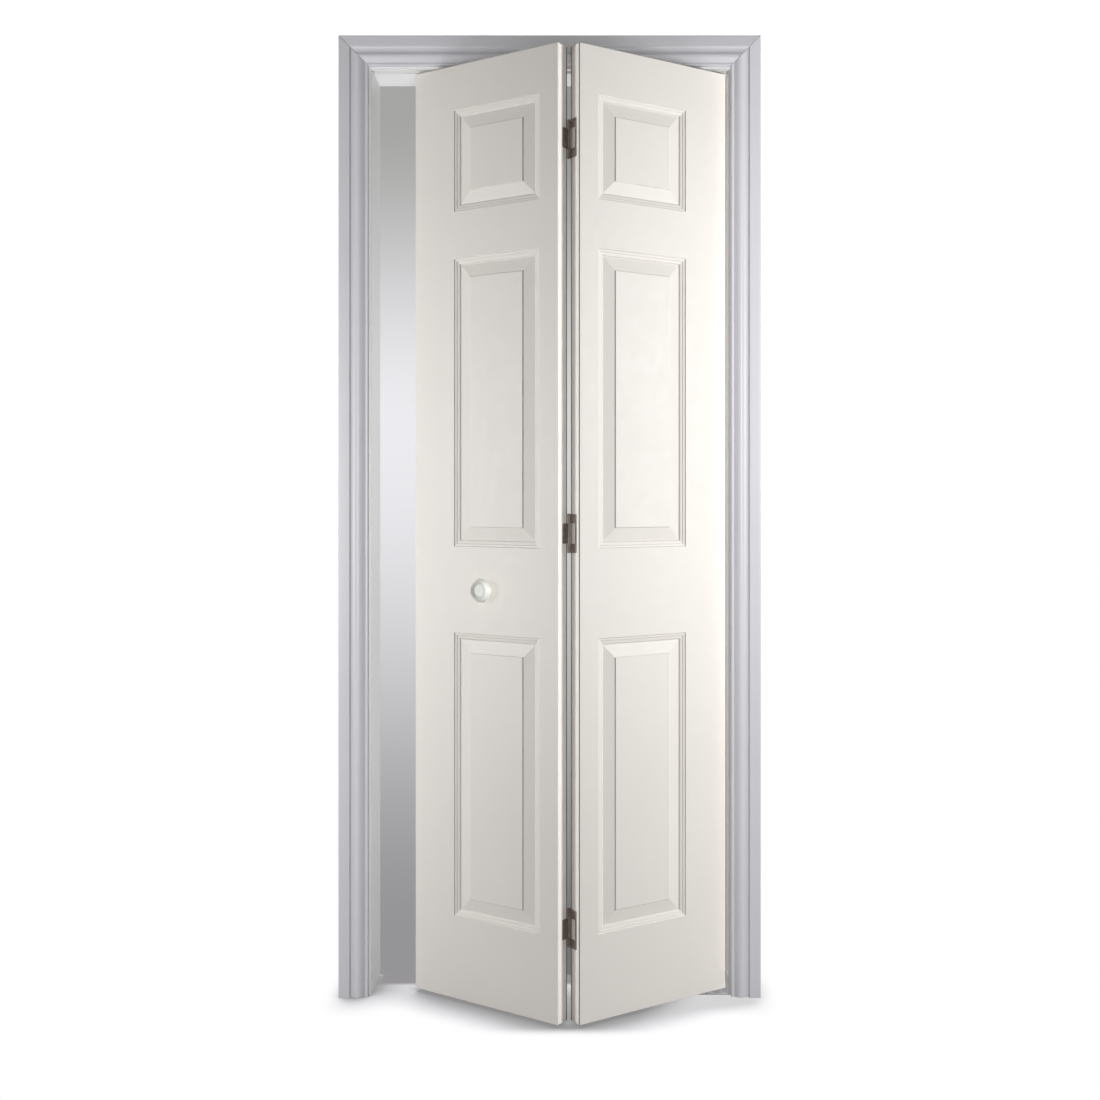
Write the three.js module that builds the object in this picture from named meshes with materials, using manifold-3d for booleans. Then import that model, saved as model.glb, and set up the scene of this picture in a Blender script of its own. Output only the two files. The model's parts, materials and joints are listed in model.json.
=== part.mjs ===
// Bifold closet door: a cased door frame with two hinged moulded-panel leaves.
// Units are millimetres. The origin is at floor level, at the middle of the
// finished opening, on the plane of the wall face. +X points right as seen from
// the room, +Y points into the closet, +Z points up.
import * as THREE from 'three';
import { mergeVertices } from 'three/addons/utils/BufferGeometryUtils.js';
import Module from 'manifold-3d';

// ---- driving dimensions: opening and frame ----
const OPENING_W = 774.7;        // between the side jambs, 30 1/2 in
const HEAD_Z = 2009.5;          // underside of the head jamb
const JAMB_T = 19;              // side jamb thickness
const JAMB_D = 116;             // jamb depth, wall face to closet face
const HEAD_T = 32;              // head jamb thickness, grooved for the track
const RABBET = 10;              // head jamb let into each side jamb
const REVEAL = 5;               // jamb edge left bare beside the casing
const CASING_W = 63.5;          // casing width, 2 1/2 in
const MITRE_GAP = 0.25;         // hairline at the casing mitres

// ---- driving dimensions: leaves ----
const LEAF_W = 374.65;          // 14 3/4 in
const LEAF_H = 1997;            // 78 5/8 in
const LEAF_T = 35;              // 1 3/8 in
const BOTTOM_GAP = 8;           // floor to leaf
const FOLD_GAP = 3;             // between the two leaf edges when closed
const PIN_INSET = 28.6;         // pivot and guide pins, from the outer edge
const PIVOT_GAP = 9.15;         // jamb to the pivot leaf when closed
const PIVOT_LINE_Y = 20;        // track centre line behind the wall face
const KNUCKLE_OFFSET = 4.5;     // hinge axis behind the back faces
const FOLD_ANGLE = 32.4;        // each leaf turned this far out of the wall plane, degrees
const SKIN_T = 3.2;
const FRAME_V = 14.0;           // half thickness of stiles and rails
const STILE_W = 44;             // pivot and guide stiles, bored for the pins
const HINGE_STILE_W = 40;       // fold-side stiles
const RAIL_H = 60;
const FIT = 0.3;                // clearance between neighbouring leaf pieces
const CORE_V = 6.3;             // half height of the zig-zag core

// ---- driving dimensions: panels, from the outer edge and from the leaf bottom ----
const PANEL_U0 = 107;
const PANEL_U1 = 329.8;
const PANEL_Z = [[176, 783.5], [967, 1584], [1684, 1901.5]];
// moulding profile, inset from the panel outline and depth below the leaf face
const MOULDING = [[0, 0], [0.6, 0.5], [1.6, 1.5], [2.4, 1.85], [5.2, 2.15], [6.0, 2.5], [6.9, 3.3], [7.8, 3.6],
  [11.6, 4.25], [12.8, 4.75], [14.2, 6.1], [15.4, 6.6], [16.6, 6.4], [41.2, 2.2], [41.8, 1.85], [43.0, 0.35], [44.2, 0]];

// ---- driving dimensions: hardware ----
const HINGE_Z = { bottom: 188.5, middle: 998.5, top: 1808.5 };
const HINGE_H = 79;
const HINGE_PLATE_T = 1.2;
const KNUCKLE_R = 3.6;
const HINGE_PIN_R = 1.9;
const INNER_HALF = 20.6;        // half height of the inner hinge leaf
const CUT_HALF = 21.2;          // half height of the cut-out in the outer hinge leaf
const KNOB_U = 192;
const KNOB_Z = 877;
const TRACK_W = 25.4;
const TRACK_H = 22;
const TRACK_WALL = 1.2;
const LIP_IN = 8.7;             // half width of the track slot
const LIP_H = 7.2;
const ROLLER_R = 8;
const PIN_TRAVEL = 14;          // how far the sprung pins press down

// ---- derived places ----
const HALF = OPENING_W / 2;
const PIVOT_X = HALF - PIVOT_GAP - PIN_INSET;
const EDGE_OUT = PIN_INSET;                       // outer edge of the pivot leaf, local x
const EDGE_IN = PIN_INSET - LEAF_W;               // fold edge of the pivot leaf, local x
const FOLD_X = EDGE_IN - FOLD_GAP / 2;            // hinge axis in the pivot leaf's frame
const FOLD_V = LEAF_T / 2 + KNUCKLE_OFFSET;
const ZB = BOTTOM_GAP;
const ZT = BOTTOM_GAP + LEAF_H;
const THETA = THREE.MathUtils.degToRad(FOLD_ANGLE);
const FOLD_POINT = [
  PIVOT_X + FOLD_X * Math.cos(THETA) - FOLD_V * Math.sin(THETA),
  PIVOT_LINE_Y + FOLD_X * Math.sin(THETA) + FOLD_V * Math.cos(THETA),
];
const GUIDE_PIN = [FOLD_X, -FOLD_V];              // in the guide leaf's frame

const wasm = await Module();
wasm.setup();
const { Manifold } = wasm;

// ---- materials ----
const std = (color, roughness, metalness = 0) => new THREE.MeshStandardMaterial({ color, roughness, metalness });
const TRIM_PAINT = std(0xe3e6ea, 0.42);
const LEAF_PAINT = std(0xf1ede6, 0.5);
const JAMB_PAINT = std(0xe6e6e6, 0.45);
const EDGE_PAINT = std(0xe9e5e0, 0.6);
const BOARD = std(0xb08d62, 0.9);
const BRONZE = std(0x4a3b32, 0.42, 0.85);
const ZINC = std(0xb4b6b8, 0.38, 0.9);
const TRACK_ENAMEL = std(0xe8e8e6, 0.35);
const NYLON = std(0xe8e6df, 0.45);
const KNOB_PAINT = std(0xf4f3f0, 0.18);
const SPRING_STEEL = std(0x8b8d90, 0.35, 0.9);

// ---- solid helpers ----
function signedVolume(geometry) {
  const p = geometry.getAttribute('position');
  const index = geometry.getIndex();
  const a = new THREE.Vector3(), b = new THREE.Vector3(), c = new THREE.Vector3();
  let v = 0;
  for (let i = 0; i < index.count; i += 3) {
    a.fromBufferAttribute(p, index.getX(i));
    b.fromBufferAttribute(p, index.getX(i + 1));
    c.fromBufferAttribute(p, index.getX(i + 2));
    v += a.dot(b.cross(c));
  }
  return v / 6;
}

// one closed solid with merged vertices, no collapsed triangles and outward faces
function closed(source) {
  let g = source.clone();
  for (const name of ['normal', 'uv']) if (g.getAttribute(name)) g.deleteAttribute(name);
  g = mergeVertices(g, 1e-4);
  const kept = [];
  const index = g.getIndex();
  for (let i = 0; i < index.count; i += 3) {
    const t = [index.getX(i), index.getX(i + 1), index.getX(i + 2)];
    if (t[0] !== t[1] && t[1] !== t[2] && t[0] !== t[2]) kept.push(...t);
  }
  g.setIndex(kept);
  if (signedVolume(g) < 0) {
    for (let i = 0; i < kept.length; i += 3) [kept[i], kept[i + 1]] = [kept[i + 1], kept[i]];
    g.setIndex(kept);
  }
  return g;
}

function toSolid(geometry) {
  const g = closed(geometry);
  return new Manifold(new wasm.Mesh({
    numProp: 3,
    vertProperties: new Float32Array(g.getAttribute('position').array),
    triVerts: new Uint32Array(g.getIndex().array),
  }));
}

function toGeometry(solid) {
  const mesh = solid.getMesh();
  const g = new THREE.BufferGeometry();
  g.setAttribute('position', new THREE.BufferAttribute(new Float32Array(mesh.vertProperties), 3));
  g.setIndex(Array.from(mesh.triVerts));
  g.computeVertexNormals();
  return g;
}

const join = (...parts) => toGeometry(Manifold.union(parts.map(toSolid)));
const cut = (body, ...tools) => toGeometry(toSolid(body).subtract(Manifold.union(tools.map(toSolid))));

function box(x0, x1, y0, y1, z0, z1) {
  const g = new THREE.BoxGeometry(x1 - x0, y1 - y0, z1 - z0);
  g.translate((x0 + x1) / 2, (y0 + y1) / 2, (z0 + z1) / 2);
  return closed(g);
}

// the outline lies in the plane named by the first two letters and is extruded along the third axis
function prism(plane, outline, from, to) {
  const shape = new THREE.Shape(outline.map(([a, b]) => new THREE.Vector2(a, b)));
  const g = new THREE.ExtrudeGeometry(shape, { depth: to - from, bevelEnabled: false });
  g.translate(0, 0, from);
  const m = new THREE.Matrix4();
  if (plane === 'yz') m.set(0, 0, 1, 0, 1, 0, 0, 0, 0, 1, 0, 0, 0, 0, 0, 1);
  if (plane === 'xz') m.set(1, 0, 0, 0, 0, 0, 1, 0, 0, 1, 0, 0, 0, 0, 0, 1);
  g.applyMatrix4(m);
  return closed(g);
}

// a solid of revolution; the profile is [radius, height] and the axis points along +Z from (x, y)
function turned(profile, x = 0, y = 0, segments = 24) {
  const g = new THREE.LatheGeometry(profile.map(([r, h]) => new THREE.Vector2(Math.max(r, 0), h)), segments);
  g.rotateX(Math.PI / 2);
  g.translate(x, y, 0);
  return closed(g);
}

const rod = (r, z0, z1, x = 0, y = 0, segments = 24) =>
  turned([[0, z0], [r, z0], [r, z1], [0, z1]], x, y, segments);

// a turned solid laid along a direction from a point
function aim(geometry, origin, direction) {
  const g = geometry.clone();
  const q = new THREE.Quaternion().setFromUnitVectors(new THREE.Vector3(0, 0, 1), new THREE.Vector3(...direction).normalize());
  g.applyMatrix4(new THREE.Matrix4().makeRotationFromQuaternion(q));
  g.translate(...origin);
  return closed(g);
}

function part(parent, name, geometry, material) {
  const g = geometry.getAttribute('normal') ? geometry : geometry.clone();
  g.computeVertexNormals();
  const mesh = new THREE.Mesh(g, material);
  mesh.name = name;
  parent.add(mesh);
  return mesh;
}

// ---- countersunk wood screw: the flat of the head at z = 0, the point towards +Z ----
const screw = (headR, shankR, length, headDepth = 1.9) =>
  turned([[0, 0.15], [headR * 0.28, 0.15], [headR * 0.28, 0], [headR, 0], [shankR, headDepth],
    [shankR, length - 3], [0, length]], 0, 0, 12);
const pilot = (r, length) => rod(r, -0.5, length, 0, 0, 12);
const countersink = (headR, shankR, headDepth = 1.9) =>
  turned([[0, -0.5], [headR + 0.3, -0.5], [headR + 0.3, 0.3], [shankR + 0.25, headDepth + 0.15],
    [shankR + 0.25, 6], [0, 6]], 0, 0, 12);

// ---- moulded door skin ----
// outline x0..x1 by z0..z1, face at y = face, relief and thickness run in the direction of into
function mouldedSkin(x0, x1, z0, z1, panels, face, into) {
  const pos = [], tri = [];
  const vertex = (x, y, z) => (pos.push(x, y, z), pos.length / 3 - 1);
  const triangle = (a, b, c, flip) => (flip ? tri.push(a, c, b) : tri.push(a, b, c));
  function surface(y, flip) {
    const corners = [[x0, z0], [x1, z0], [x1, z1], [x0, z1]];
    const rings = panels.map(([px0, px1, pz0, pz1]) => MOULDING.map(([s, d]) =>
      [[px0 + s, pz0 + s], [px1 - s, pz0 + s], [px1 - s, pz1 - s], [px0 + s, pz1 - s]].map(([x, z]) => [x, z, d])));
    const outer = corners.map(([x, z]) => vertex(x, y, z));
    const levels = rings.map((levelList) => levelList.map((ring) => ring.map(([x, z, d]) => vertex(x, y + into * d, z))));
    const contour = corners.map(([x, z]) => new THREE.Vector2(x, z));
    const holes = rings.map((levelList) => levelList[0].map(([x, z]) => new THREE.Vector2(x, z)).reverse());
    const ids = [...outer, ...levels.flatMap((l) => [...l[0]].reverse())];
    const flat = [...contour, ...holes.flat()];
    for (const [a, b, c] of THREE.ShapeUtils.triangulateShape(contour, holes)) {
      const area = (flat[b].x - flat[a].x) * (flat[c].y - flat[a].y) - (flat[c].x - flat[a].x) * (flat[b].y - flat[a].y);
      triangle(ids[a], ids[b], ids[c], area < 0 ? !flip : flip);
    }
    for (const l of levels) {
      for (let k = 0; k + 1 < l.length; k++) {
        for (let i = 0; i < 4; i++) {
          const j = (i + 1) % 4;
          triangle(l[k][i], l[k][j], l[k + 1][j], flip);
          triangle(l[k][i], l[k + 1][j], l[k + 1][i], flip);
        }
      }
      const e = l[l.length - 1];
      triangle(e[0], e[1], e[2], flip);
      triangle(e[0], e[2], e[3], flip);
    }
    return outer;
  }
  const a = surface(face, false);
  const b = surface(face + into * SKIN_T, true);
  for (let i = 0; i < 4; i++) {
    const j = (i + 1) % 4;
    triangle(a[j], a[i], b[i], false);
    triangle(a[j], b[i], b[j], false);
  }
  const g = new THREE.BufferGeometry();
  g.setAttribute('position', new THREE.BufferAttribute(new Float32Array(pos), 3));
  g.setIndex(tri);
  return closed(g);
}

// ---- zig-zag board core ----
function zigzag(x0, x1, y, half, thickness, folds, z0, z1) {
  const up = [], down = [];
  for (let i = 0; i <= folds; i++) {
    const x = x0 + ((x1 - x0) * i) / folds;
    const v = y + (i % 2 ? half : -half);
    up.push([x, v + thickness / 2]);
    down.push([x, v - thickness / 2]);
  }
  return prism('xy', [...down, ...up.reverse()], z0, z1);
}

// ---- coil spring ----
class Coil extends THREE.Curve {
  constructor(radius, z0, z1, turns) {
    super();
    Object.assign(this, { radius, z0, z1, turns });
  }

  getPoint(t, target = new THREE.Vector3()) {
    const a = t * this.turns * Math.PI * 2;
    return target.set(this.radius * Math.cos(a), this.radius * Math.sin(a), this.z0 + (this.z1 - this.z0) * t);
  }
}

function coil(radius, wire, z0, z1, turns, x, y) {
  const ring = [];
  for (let i = 0; i < 6; i++) ring.push(new THREE.Vector2(wire * Math.cos((i * Math.PI) / 3), wire * Math.sin((i * Math.PI) / 3)));
  const g = new THREE.ExtrudeGeometry(new THREE.Shape(ring), {
    steps: turns * 12, bevelEnabled: false, extrudePath: new Coil(radius, z0, z1, turns),
  });
  g.translate(x, y, 0);
  return closed(g);
}

const group = new THREE.Group();
group.name = 'bifold_closet_door';

// =====================================================================
// Frame: jambs, casing, track and fixed pivots
// =====================================================================
const jambTop = HEAD_Z + HEAD_T;
const sideJamb = (s) => prism('xz', [[HALF * s, 0], [(HALF + JAMB_T) * s, 0], [(HALF + JAMB_T) * s, jambTop],
  [(HALF + RABBET) * s, jambTop], [(HALF + RABBET) * s, HEAD_Z], [HALF * s, HEAD_Z]], 0, JAMB_D);

const bracketScrewY = [PIVOT_LINE_Y - 11, PIVOT_LINE_Y + 11];
const BRACKET_T = 1.8;
const BRACKET_SCREW_Z = 28;

part(group, 'jamb_left', sideJamb(-1), JAMB_PAINT);
part(group, 'jamb_right', cut(sideJamb(1),
  ...bracketScrewY.map((y) => aim(pilot(1.8, 17), [HALF, y, BRACKET_SCREW_Z], [1, 0, 0]))), JAMB_PAINT);

const grooveHalf = TRACK_W / 2 + 0.2;
const grooveTop = HEAD_Z + TRACK_H + 0.3;
const headJamb = prism('yz', [[0, HEAD_Z], [PIVOT_LINE_Y - grooveHalf, HEAD_Z], [PIVOT_LINE_Y - grooveHalf, grooveTop],
  [PIVOT_LINE_Y + grooveHalf, grooveTop], [PIVOT_LINE_Y + grooveHalf, HEAD_Z], [JAMB_D, HEAD_Z], [JAMB_D, jambTop],
  [0, jambTop]], -(HALF + RABBET), HALF + RABBET);
const trackScrewX = [-270, 180];
part(group, 'head_jamb', cut(headJamb,
  ...trackScrewX.map((x) => rod(1.9, grooveTop - 0.5, grooveTop + 8.2, x, PIVOT_LINE_Y, 14))), JAMB_PAINT);

// casing section: distance in from the outer edge, projection from the wall; the back is relieved between
// the strip that lies on the wall and the strip that lies on the jamb
const CASING = [[0, 0], [0, 15.2], [0.5, 16.1], [1.4, 16.5], [10, 16.7], [22.4, 16.6], [23.8, 16.2], [24.6, 15.2],
  [25.1, 13.8], [26.1, 12.8], [28, 12.2], [30.5, 12], [33, 12.2], [35.3, 12.8], [37.3, 13.7], [39.3, 14.8],
  [41.2, 15.5], [43.2, 15.7], [45.6, 15.4], [48.2, 14.5], [50.8, 13.1], [53.2, 11.4], [55.2, 9.9], [56.8, 9.1],
  [57.8, 9], [58.4, 9.5], [59.2, 9.9], [61.2, 9.9], [62.6, 9.4], [63.5, 8.4], [63.5, 0], [50, 0], [48.5, 1.2],
  [13.5, 1.2], [12, 0]];
const innerX = HALF + REVEAL, outerX = innerX + CASING_W;
const innerZ = HEAD_Z + REVEAL, outerZ = innerZ + CASING_W;

// a closed strip whose section runs from one list of points to the other
function strip(start, end) {
  const n = start.length;
  const pos = [...start, ...end].flat();
  const tri = [];
  for (let i = 0; i < n; i++) {
    const j = (i + 1) % n;
    tri.push(i, j, n + j, i, n + j, n + i);
  }
  const flat = CASING.map(([w, t]) => new THREE.Vector2(w, t));
  const turnOf = (a, b, c) => Math.sign((flat[b].x - flat[a].x) * (flat[c].y - flat[a].y) - (flat[c].x - flat[a].x) * (flat[b].y - flat[a].y));
  const way = Math.sign(THREE.ShapeUtils.area(flat));
  for (const t of THREE.ShapeUtils.triangulateShape(flat, [])) {
    const [a, b, c] = turnOf(...t) === way ? t : [t[0], t[2], t[1]];
    tri.push(c, b, a);
    tri.push(n + a, n + b, n + c);
  }
  const g = new THREE.BufferGeometry();
  g.setAttribute('position', new THREE.BufferAttribute(new Float32Array(pos), 3));
  g.setIndex(tri);
  return closed(g);
}
function sideCasing(s) {
  return strip(
    CASING.map(([w, t]) => [s * (outerX - w), -t, 0]),
    CASING.map(([w, t]) => [s * (outerX - w), -t, outerZ - w - MITRE_GAP]));
}
part(group, 'casing_left', sideCasing(-1), TRIM_PAINT);
part(group, 'casing_right', sideCasing(1), TRIM_PAINT);
part(group, 'casing_head', strip(
  CASING.map(([w, t]) => [-(outerX - w) + MITRE_GAP, -t, outerZ - w]),
  CASING.map(([w, t]) => [outerX - w - MITRE_GAP, -t, outerZ - w])), TRIM_PAINT);

// track: a channel open downwards, with turned-up lips that guide the roller
const tw = TRACK_W / 2, ti = tw - TRACK_WALL, tb = HEAD_Z, tt = HEAD_Z + TRACK_H;
const lo = LIP_IN + 1.1;
const trackHalf = [[LIP_IN, tb], [tw, tb], [tw, tt]];
const trackInner = [[ti, tt - TRACK_WALL], [ti, tb + TRACK_WALL], [lo, tb + TRACK_WALL], [lo, tb + LIP_H], [LIP_IN, tb + LIP_H]];
const trackOutline = [
  ...trackHalf.map(([y, z]) => [PIVOT_LINE_Y + y, z]),
  ...[...trackHalf].reverse().map(([y, z]) => [PIVOT_LINE_Y - y, z]),
  ...[...trackInner].reverse().map(([y, z]) => [PIVOT_LINE_Y - y, z]),
  ...trackInner.map(([y, z]) => [PIVOT_LINE_Y + y, z]),
];
part(group, 'top_track', cut(prism('yz', trackOutline, -(HALF - 0.5), HALF - 0.5),
  ...trackScrewX.map((x) => rod(2.2, tt - 3, tt + 1, x, PIVOT_LINE_Y, 14))), TRACK_ENAMEL);
trackScrewX.forEach((x, i) => part(group, i ? 'track_screw_right' : 'track_screw_left',
  turned([[0, tt - 3.2], [1.6, tt - 3.2], [1.6, tt - 3.7], [3.2, tt - 3.7], [4.2, tt - 2.6], [4.2, tt - 1.4],
    [1.7, tt - 1.4], [1.7, tt + 6], [0.5, tt + 8], [0, tt + 8]], x, PIVOT_LINE_Y, 16), ZINC));

// top pivot bracket: rides on the track lips and holds the pivot pin
const bz = HEAD_Z + LIP_H + 0.3;
const setScrewX = PIVOT_X - 36;
part(group, 'top_pivot_bracket', cut(
  join(box(PIVOT_X - 47, PIVOT_X + 24, PIVOT_LINE_Y - 11.2, PIVOT_LINE_Y + 11.2, bz, bz + 3),
    rod(8.2, HEAD_Z + 0.6, HEAD_Z + 14.5, PIVOT_X, PIVOT_LINE_Y, 32),
    rod(7.6, HEAD_Z + 0.6, HEAD_Z + 13, setScrewX, PIVOT_LINE_Y, 28)),
  rod(4.9, HEAD_Z, HEAD_Z + 16, PIVOT_X, PIVOT_LINE_Y, 28),
  rod(2.7, HEAD_Z, HEAD_Z + 14, setScrewX, PIVOT_LINE_Y, 16),
  turned([[0, HEAD_Z], [5.2, HEAD_Z], [5.2, HEAD_Z + 1.2], [2.7, HEAD_Z + 3.8], [0, HEAD_Z + 3.8]], setScrewX, PIVOT_LINE_Y, 20)), ZINC);
part(group, 'top_bracket_screw', turned([[0, HEAD_Z + 1.5], [1.5, HEAD_Z + 1.5], [1.5, HEAD_Z + 0.8], [4.8, HEAD_Z + 0.8],
  [4.8, HEAD_Z + 1.3], [2.5, HEAD_Z + 3.7], [2.5, tt - TRACK_WALL - 0.3], [0, tt - TRACK_WALL - 0.3]], setScrewX, PIVOT_LINE_Y, 16), ZINC);

// bottom jamb bracket: an angle on the floor and the jamb, with a row of pin stations
const by0 = PIVOT_LINE_Y - 19, by1 = PIVOT_LINE_Y + 19;
const angle = prism('xz', [[HALF - 68, 0], [HALF, 0], [HALF, 42], [HALF - BRACKET_T, 42], [HALF - BRACKET_T, 2], [HALF - 68, 2]], by0, by1);
part(group, 'bottom_jamb_bracket', cut(angle,
  ...[0, 1, 2, 3].map((k) => rod(4.2, -1, 3, PIVOT_X - 6.5 * k, PIVOT_LINE_Y, 20)),
  ...bracketScrewY.map((y) => aim(countersink(3.6, 1.6, 1.7), [HALF - BRACKET_T, y, BRACKET_SCREW_Z], [1, 0, 0]))), ZINC);
bracketScrewY.forEach((y, i) => part(group, i ? 'bottom_bracket_screw_back' : 'bottom_bracket_screw_front',
  aim(screw(3.5, 1.5, 17, 1.7), [HALF - BRACKET_T + 0.1, y, BRACKET_SCREW_Z], [1, 0, 0]), ZINC));

// bottom pivot pin: spigot in the bracket, star-shaped adjusting wheel, shaft in the leaf
const star = [];
for (let i = 0; i < 16; i++) {
  const r = i % 2 ? 6.9 : 8.6;
  star.push([PIVOT_X + r * Math.cos((i * Math.PI) / 8), PIVOT_LINE_Y + r * Math.sin((i * Math.PI) / 8)]);
}
part(group, 'bottom_pivot_pin', join(
  rod(3.9, 0.4, 3, PIVOT_X, PIVOT_LINE_Y, 24),
  prism('xy', star, 2.2, 6.6),
  turned([[0, 3], [4.6, 3], [4.6, 50], [3.6, 51.5], [0, 51.5]], PIVOT_X, PIVOT_LINE_Y, 24)), ZINC);

// =====================================================================
// Pivot leaf: local x runs along the leaf, the pivot axis is at x = 0, y = 0
// =====================================================================
const pivotLeaf = new THREE.Group();
pivotLeaf.position.set(PIVOT_X, PIVOT_LINE_Y, 0);
pivotLeaf.rotation.z = THETA;
group.add(pivotLeaf);

// lowW and highW are the widths of the stiles at the low and the high end of local x
const leafParts = (x0, x1, y, panelX, lowW, highW) => ({
  front: mouldedSkin(x0, x1, ZB, ZT, panelX, y - LEAF_T / 2, 1),
  back: mouldedSkin(x0, x1, ZB, ZT, panelX, y + LEAF_T / 2, -1),
  low: box(x0, x0 + lowW, y - FRAME_V, y + FRAME_V, ZB, ZT),
  high: box(x1 - highW, x1, y - FRAME_V, y + FRAME_V, ZB, ZT),
  topRail: box(x0 + lowW + FIT, x1 - highW - FIT, y - FRAME_V, y + FRAME_V, ZT - RAIL_H, ZT),
  bottomRail: box(x0 + lowW + FIT, x1 - highW - FIT, y - FRAME_V, y + FRAME_V, ZB, ZB + RAIL_H),
  core: zigzag(x0 + lowW + 1, x1 - highW - 1, y, CORE_V, 1.8, 12, ZB + RAIL_H + 1, ZT - RAIL_H - 1),
});

const pivotPanels = PANEL_Z.map(([a, b]) => [EDGE_OUT - PANEL_U1, EDGE_OUT - PANEL_U0, ZB + a, ZB + b]);
const pl = leafParts(EDGE_IN, EDGE_OUT, 0, pivotPanels, HINGE_STILE_W, STILE_W);
const hingeLevels = Object.entries(HINGE_Z);
const outerScrewZ = 30.2, innerScrewZ = 11.5, screwV = 8.5;

part(pivotLeaf, 'pivot_leaf_front_skin', pl.front, LEAF_PAINT);
part(pivotLeaf, 'pivot_leaf_back_skin', pl.back, LEAF_PAINT);
part(pivotLeaf, 'pivot_leaf_pivot_stile', cut(pl.high,
  rod(8.3, ZT - 60, ZT + 1, 0, 0, 24), rod(8.3, ZB - 1, ZB + 50, 0, 0, 24)), EDGE_PAINT);
part(pivotLeaf, 'pivot_leaf_hinge_stile', cut(pl.low,
  ...hingeLevels.flatMap(([, z]) => [-1, 1].map((s) => aim(pilot(1.7, 17.5), [EDGE_IN, screwV, ZB + z + s * outerScrewZ], [1, 0, 0])))), EDGE_PAINT);
part(pivotLeaf, 'pivot_leaf_top_rail', pl.topRail, EDGE_PAINT);
part(pivotLeaf, 'pivot_leaf_bottom_rail', pl.bottomRail, EDGE_PAINT);
part(pivotLeaf, 'pivot_leaf_core', pl.core, BOARD);

part(pivotLeaf, 'top_pivot_housing', turned([[0, ZT - 58], [8, ZT - 58], [8, ZT + 0.1], [11, ZT + 0.1], [11, ZT + 1.1],
  [4.9, ZT + 1.1], [4.9, ZT - 14], [6.2, ZT - 14], [6.2, ZT - 56], [0, ZT - 56]], 0, 0, 28), NYLON);
part(pivotLeaf, 'top_pivot_spring', coil(4.9, 0.55, ZT - 55.1, ZT - 31.1, 5, 0, 0), SPRING_STEEL);
part(pivotLeaf, 'top_pivot_pin', turned([[0, ZT - 30], [5.8, ZT - 30], [5.8, ZT - 14.3], [4.6, ZT - 14.3],
  [4.6, HEAD_Z + 11.5], [3.4, HEAD_Z + 13.2], [0, HEAD_Z + 13.2]], 0, 0, 24), ZINC);
part(pivotLeaf, 'bottom_pivot_housing', turned([[0, ZB + 49.5], [8, ZB + 49.5], [8, ZB - 0.1], [11, ZB - 0.1], [11, ZB - 1],
  [4.9, ZB - 1], [4.9, ZB + 46], [0, ZB + 46]], 0, 0, 28), NYLON);

// outer hinge leaves, cut out so that the inner leaf nests in them
const hh = HINGE_H / 2;
const outerPlate = [[-3.5, -hh], [19, -hh], [19, -CUT_HALF], [0.2, -CUT_HALF], [-1.0, -CUT_HALF + 1.2], [-1.0, CUT_HALF - 1.2],
  [0.2, CUT_HALF], [19, CUT_HALF], [19, hh], [-3.5, hh], [-4.9, hh - 0.6], [-5.5, hh - 2], [-5.5, -hh + 2], [-4.9, -hh + 0.6]];
for (const [name, z] of hingeLevels) {
  const zc = ZB + z;
  const x1 = EDGE_IN, x0 = EDGE_IN - HINGE_PLATE_T;
  part(pivotLeaf, `hinge_outer_leaf_${name}`, cut(
    join(prism('yz', outerPlate.map(([v, h]) => [v, zc + h]), x0, x1),
      rod(KNUCKLE_R, zc + CUT_HALF, zc + hh, FOLD_X, FOLD_V, 20),
      rod(KNUCKLE_R, zc - hh, zc - CUT_HALF, FOLD_X, FOLD_V, 20)),
    rod(HINGE_PIN_R + 0.2, zc - hh - 1, zc + hh + 1, FOLD_X, FOLD_V, 16),
    ...[-1, 1].map((s) => aim(countersink(3.2, 1.4, 1.1), [x0, screwV, zc + s * outerScrewZ], [1, 0, 0]))), BRONZE);
  part(pivotLeaf, `hinge_pin_${name}`, turned([[0, zc - hh - 1.4], [2.4, zc - hh - 1.4], [3.0, zc - hh - 0.9], [3.0, zc - hh - 0.2],
    [HINGE_PIN_R, zc - hh - 0.2], [HINGE_PIN_R, zc + hh + 0.2], [3.0, zc + hh + 0.2], [3.0, zc + hh + 0.9],
    [2.4, zc + hh + 1.4], [0, zc + hh + 1.4]], FOLD_X, FOLD_V, 16), BRONZE);
  for (const s of [-1, 1]) {
    part(pivotLeaf, `outer_hinge_screw_${name}_${s < 0 ? 'lower' : 'upper'}`,
      aim(screw(3.1, 1.4, 17, 1.1), [x0 + 0.1, screwV, zc + s * outerScrewZ], [1, 0, 0]), BRONZE);
  }
}

// =====================================================================
// Guide leaf: local x runs along the leaf, the fold axis is at x = 0, y = 0
// =====================================================================
const guideLeaf = new THREE.Group();
guideLeaf.position.set(FOLD_POINT[0], FOLD_POINT[1], 0);
guideLeaf.rotation.z = -THETA;
group.add(guideLeaf);

const gx1 = -FOLD_GAP / 2, gx0 = gx1 - LEAF_W;
const guidePanels = PANEL_Z.map(([a, b]) => [gx0 + PANEL_U0, gx0 + PANEL_U1, ZB + a, ZB + b]);
const gl = leafParts(gx0, gx1, -FOLD_V, guidePanels, STILE_W, HINGE_STILE_W);
const knobX = gx0 + KNOB_U, knobZ = ZB + KNOB_Z;
const faceY = -FOLD_V - LEAF_T / 2, rearY = -FOLD_V + LEAF_T / 2;
const knobHole = (r) => aim(rod(r, 0, LEAF_T + 6, 0, 0, 16), [knobX, faceY - 3, knobZ], [0, 1, 0]);

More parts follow.
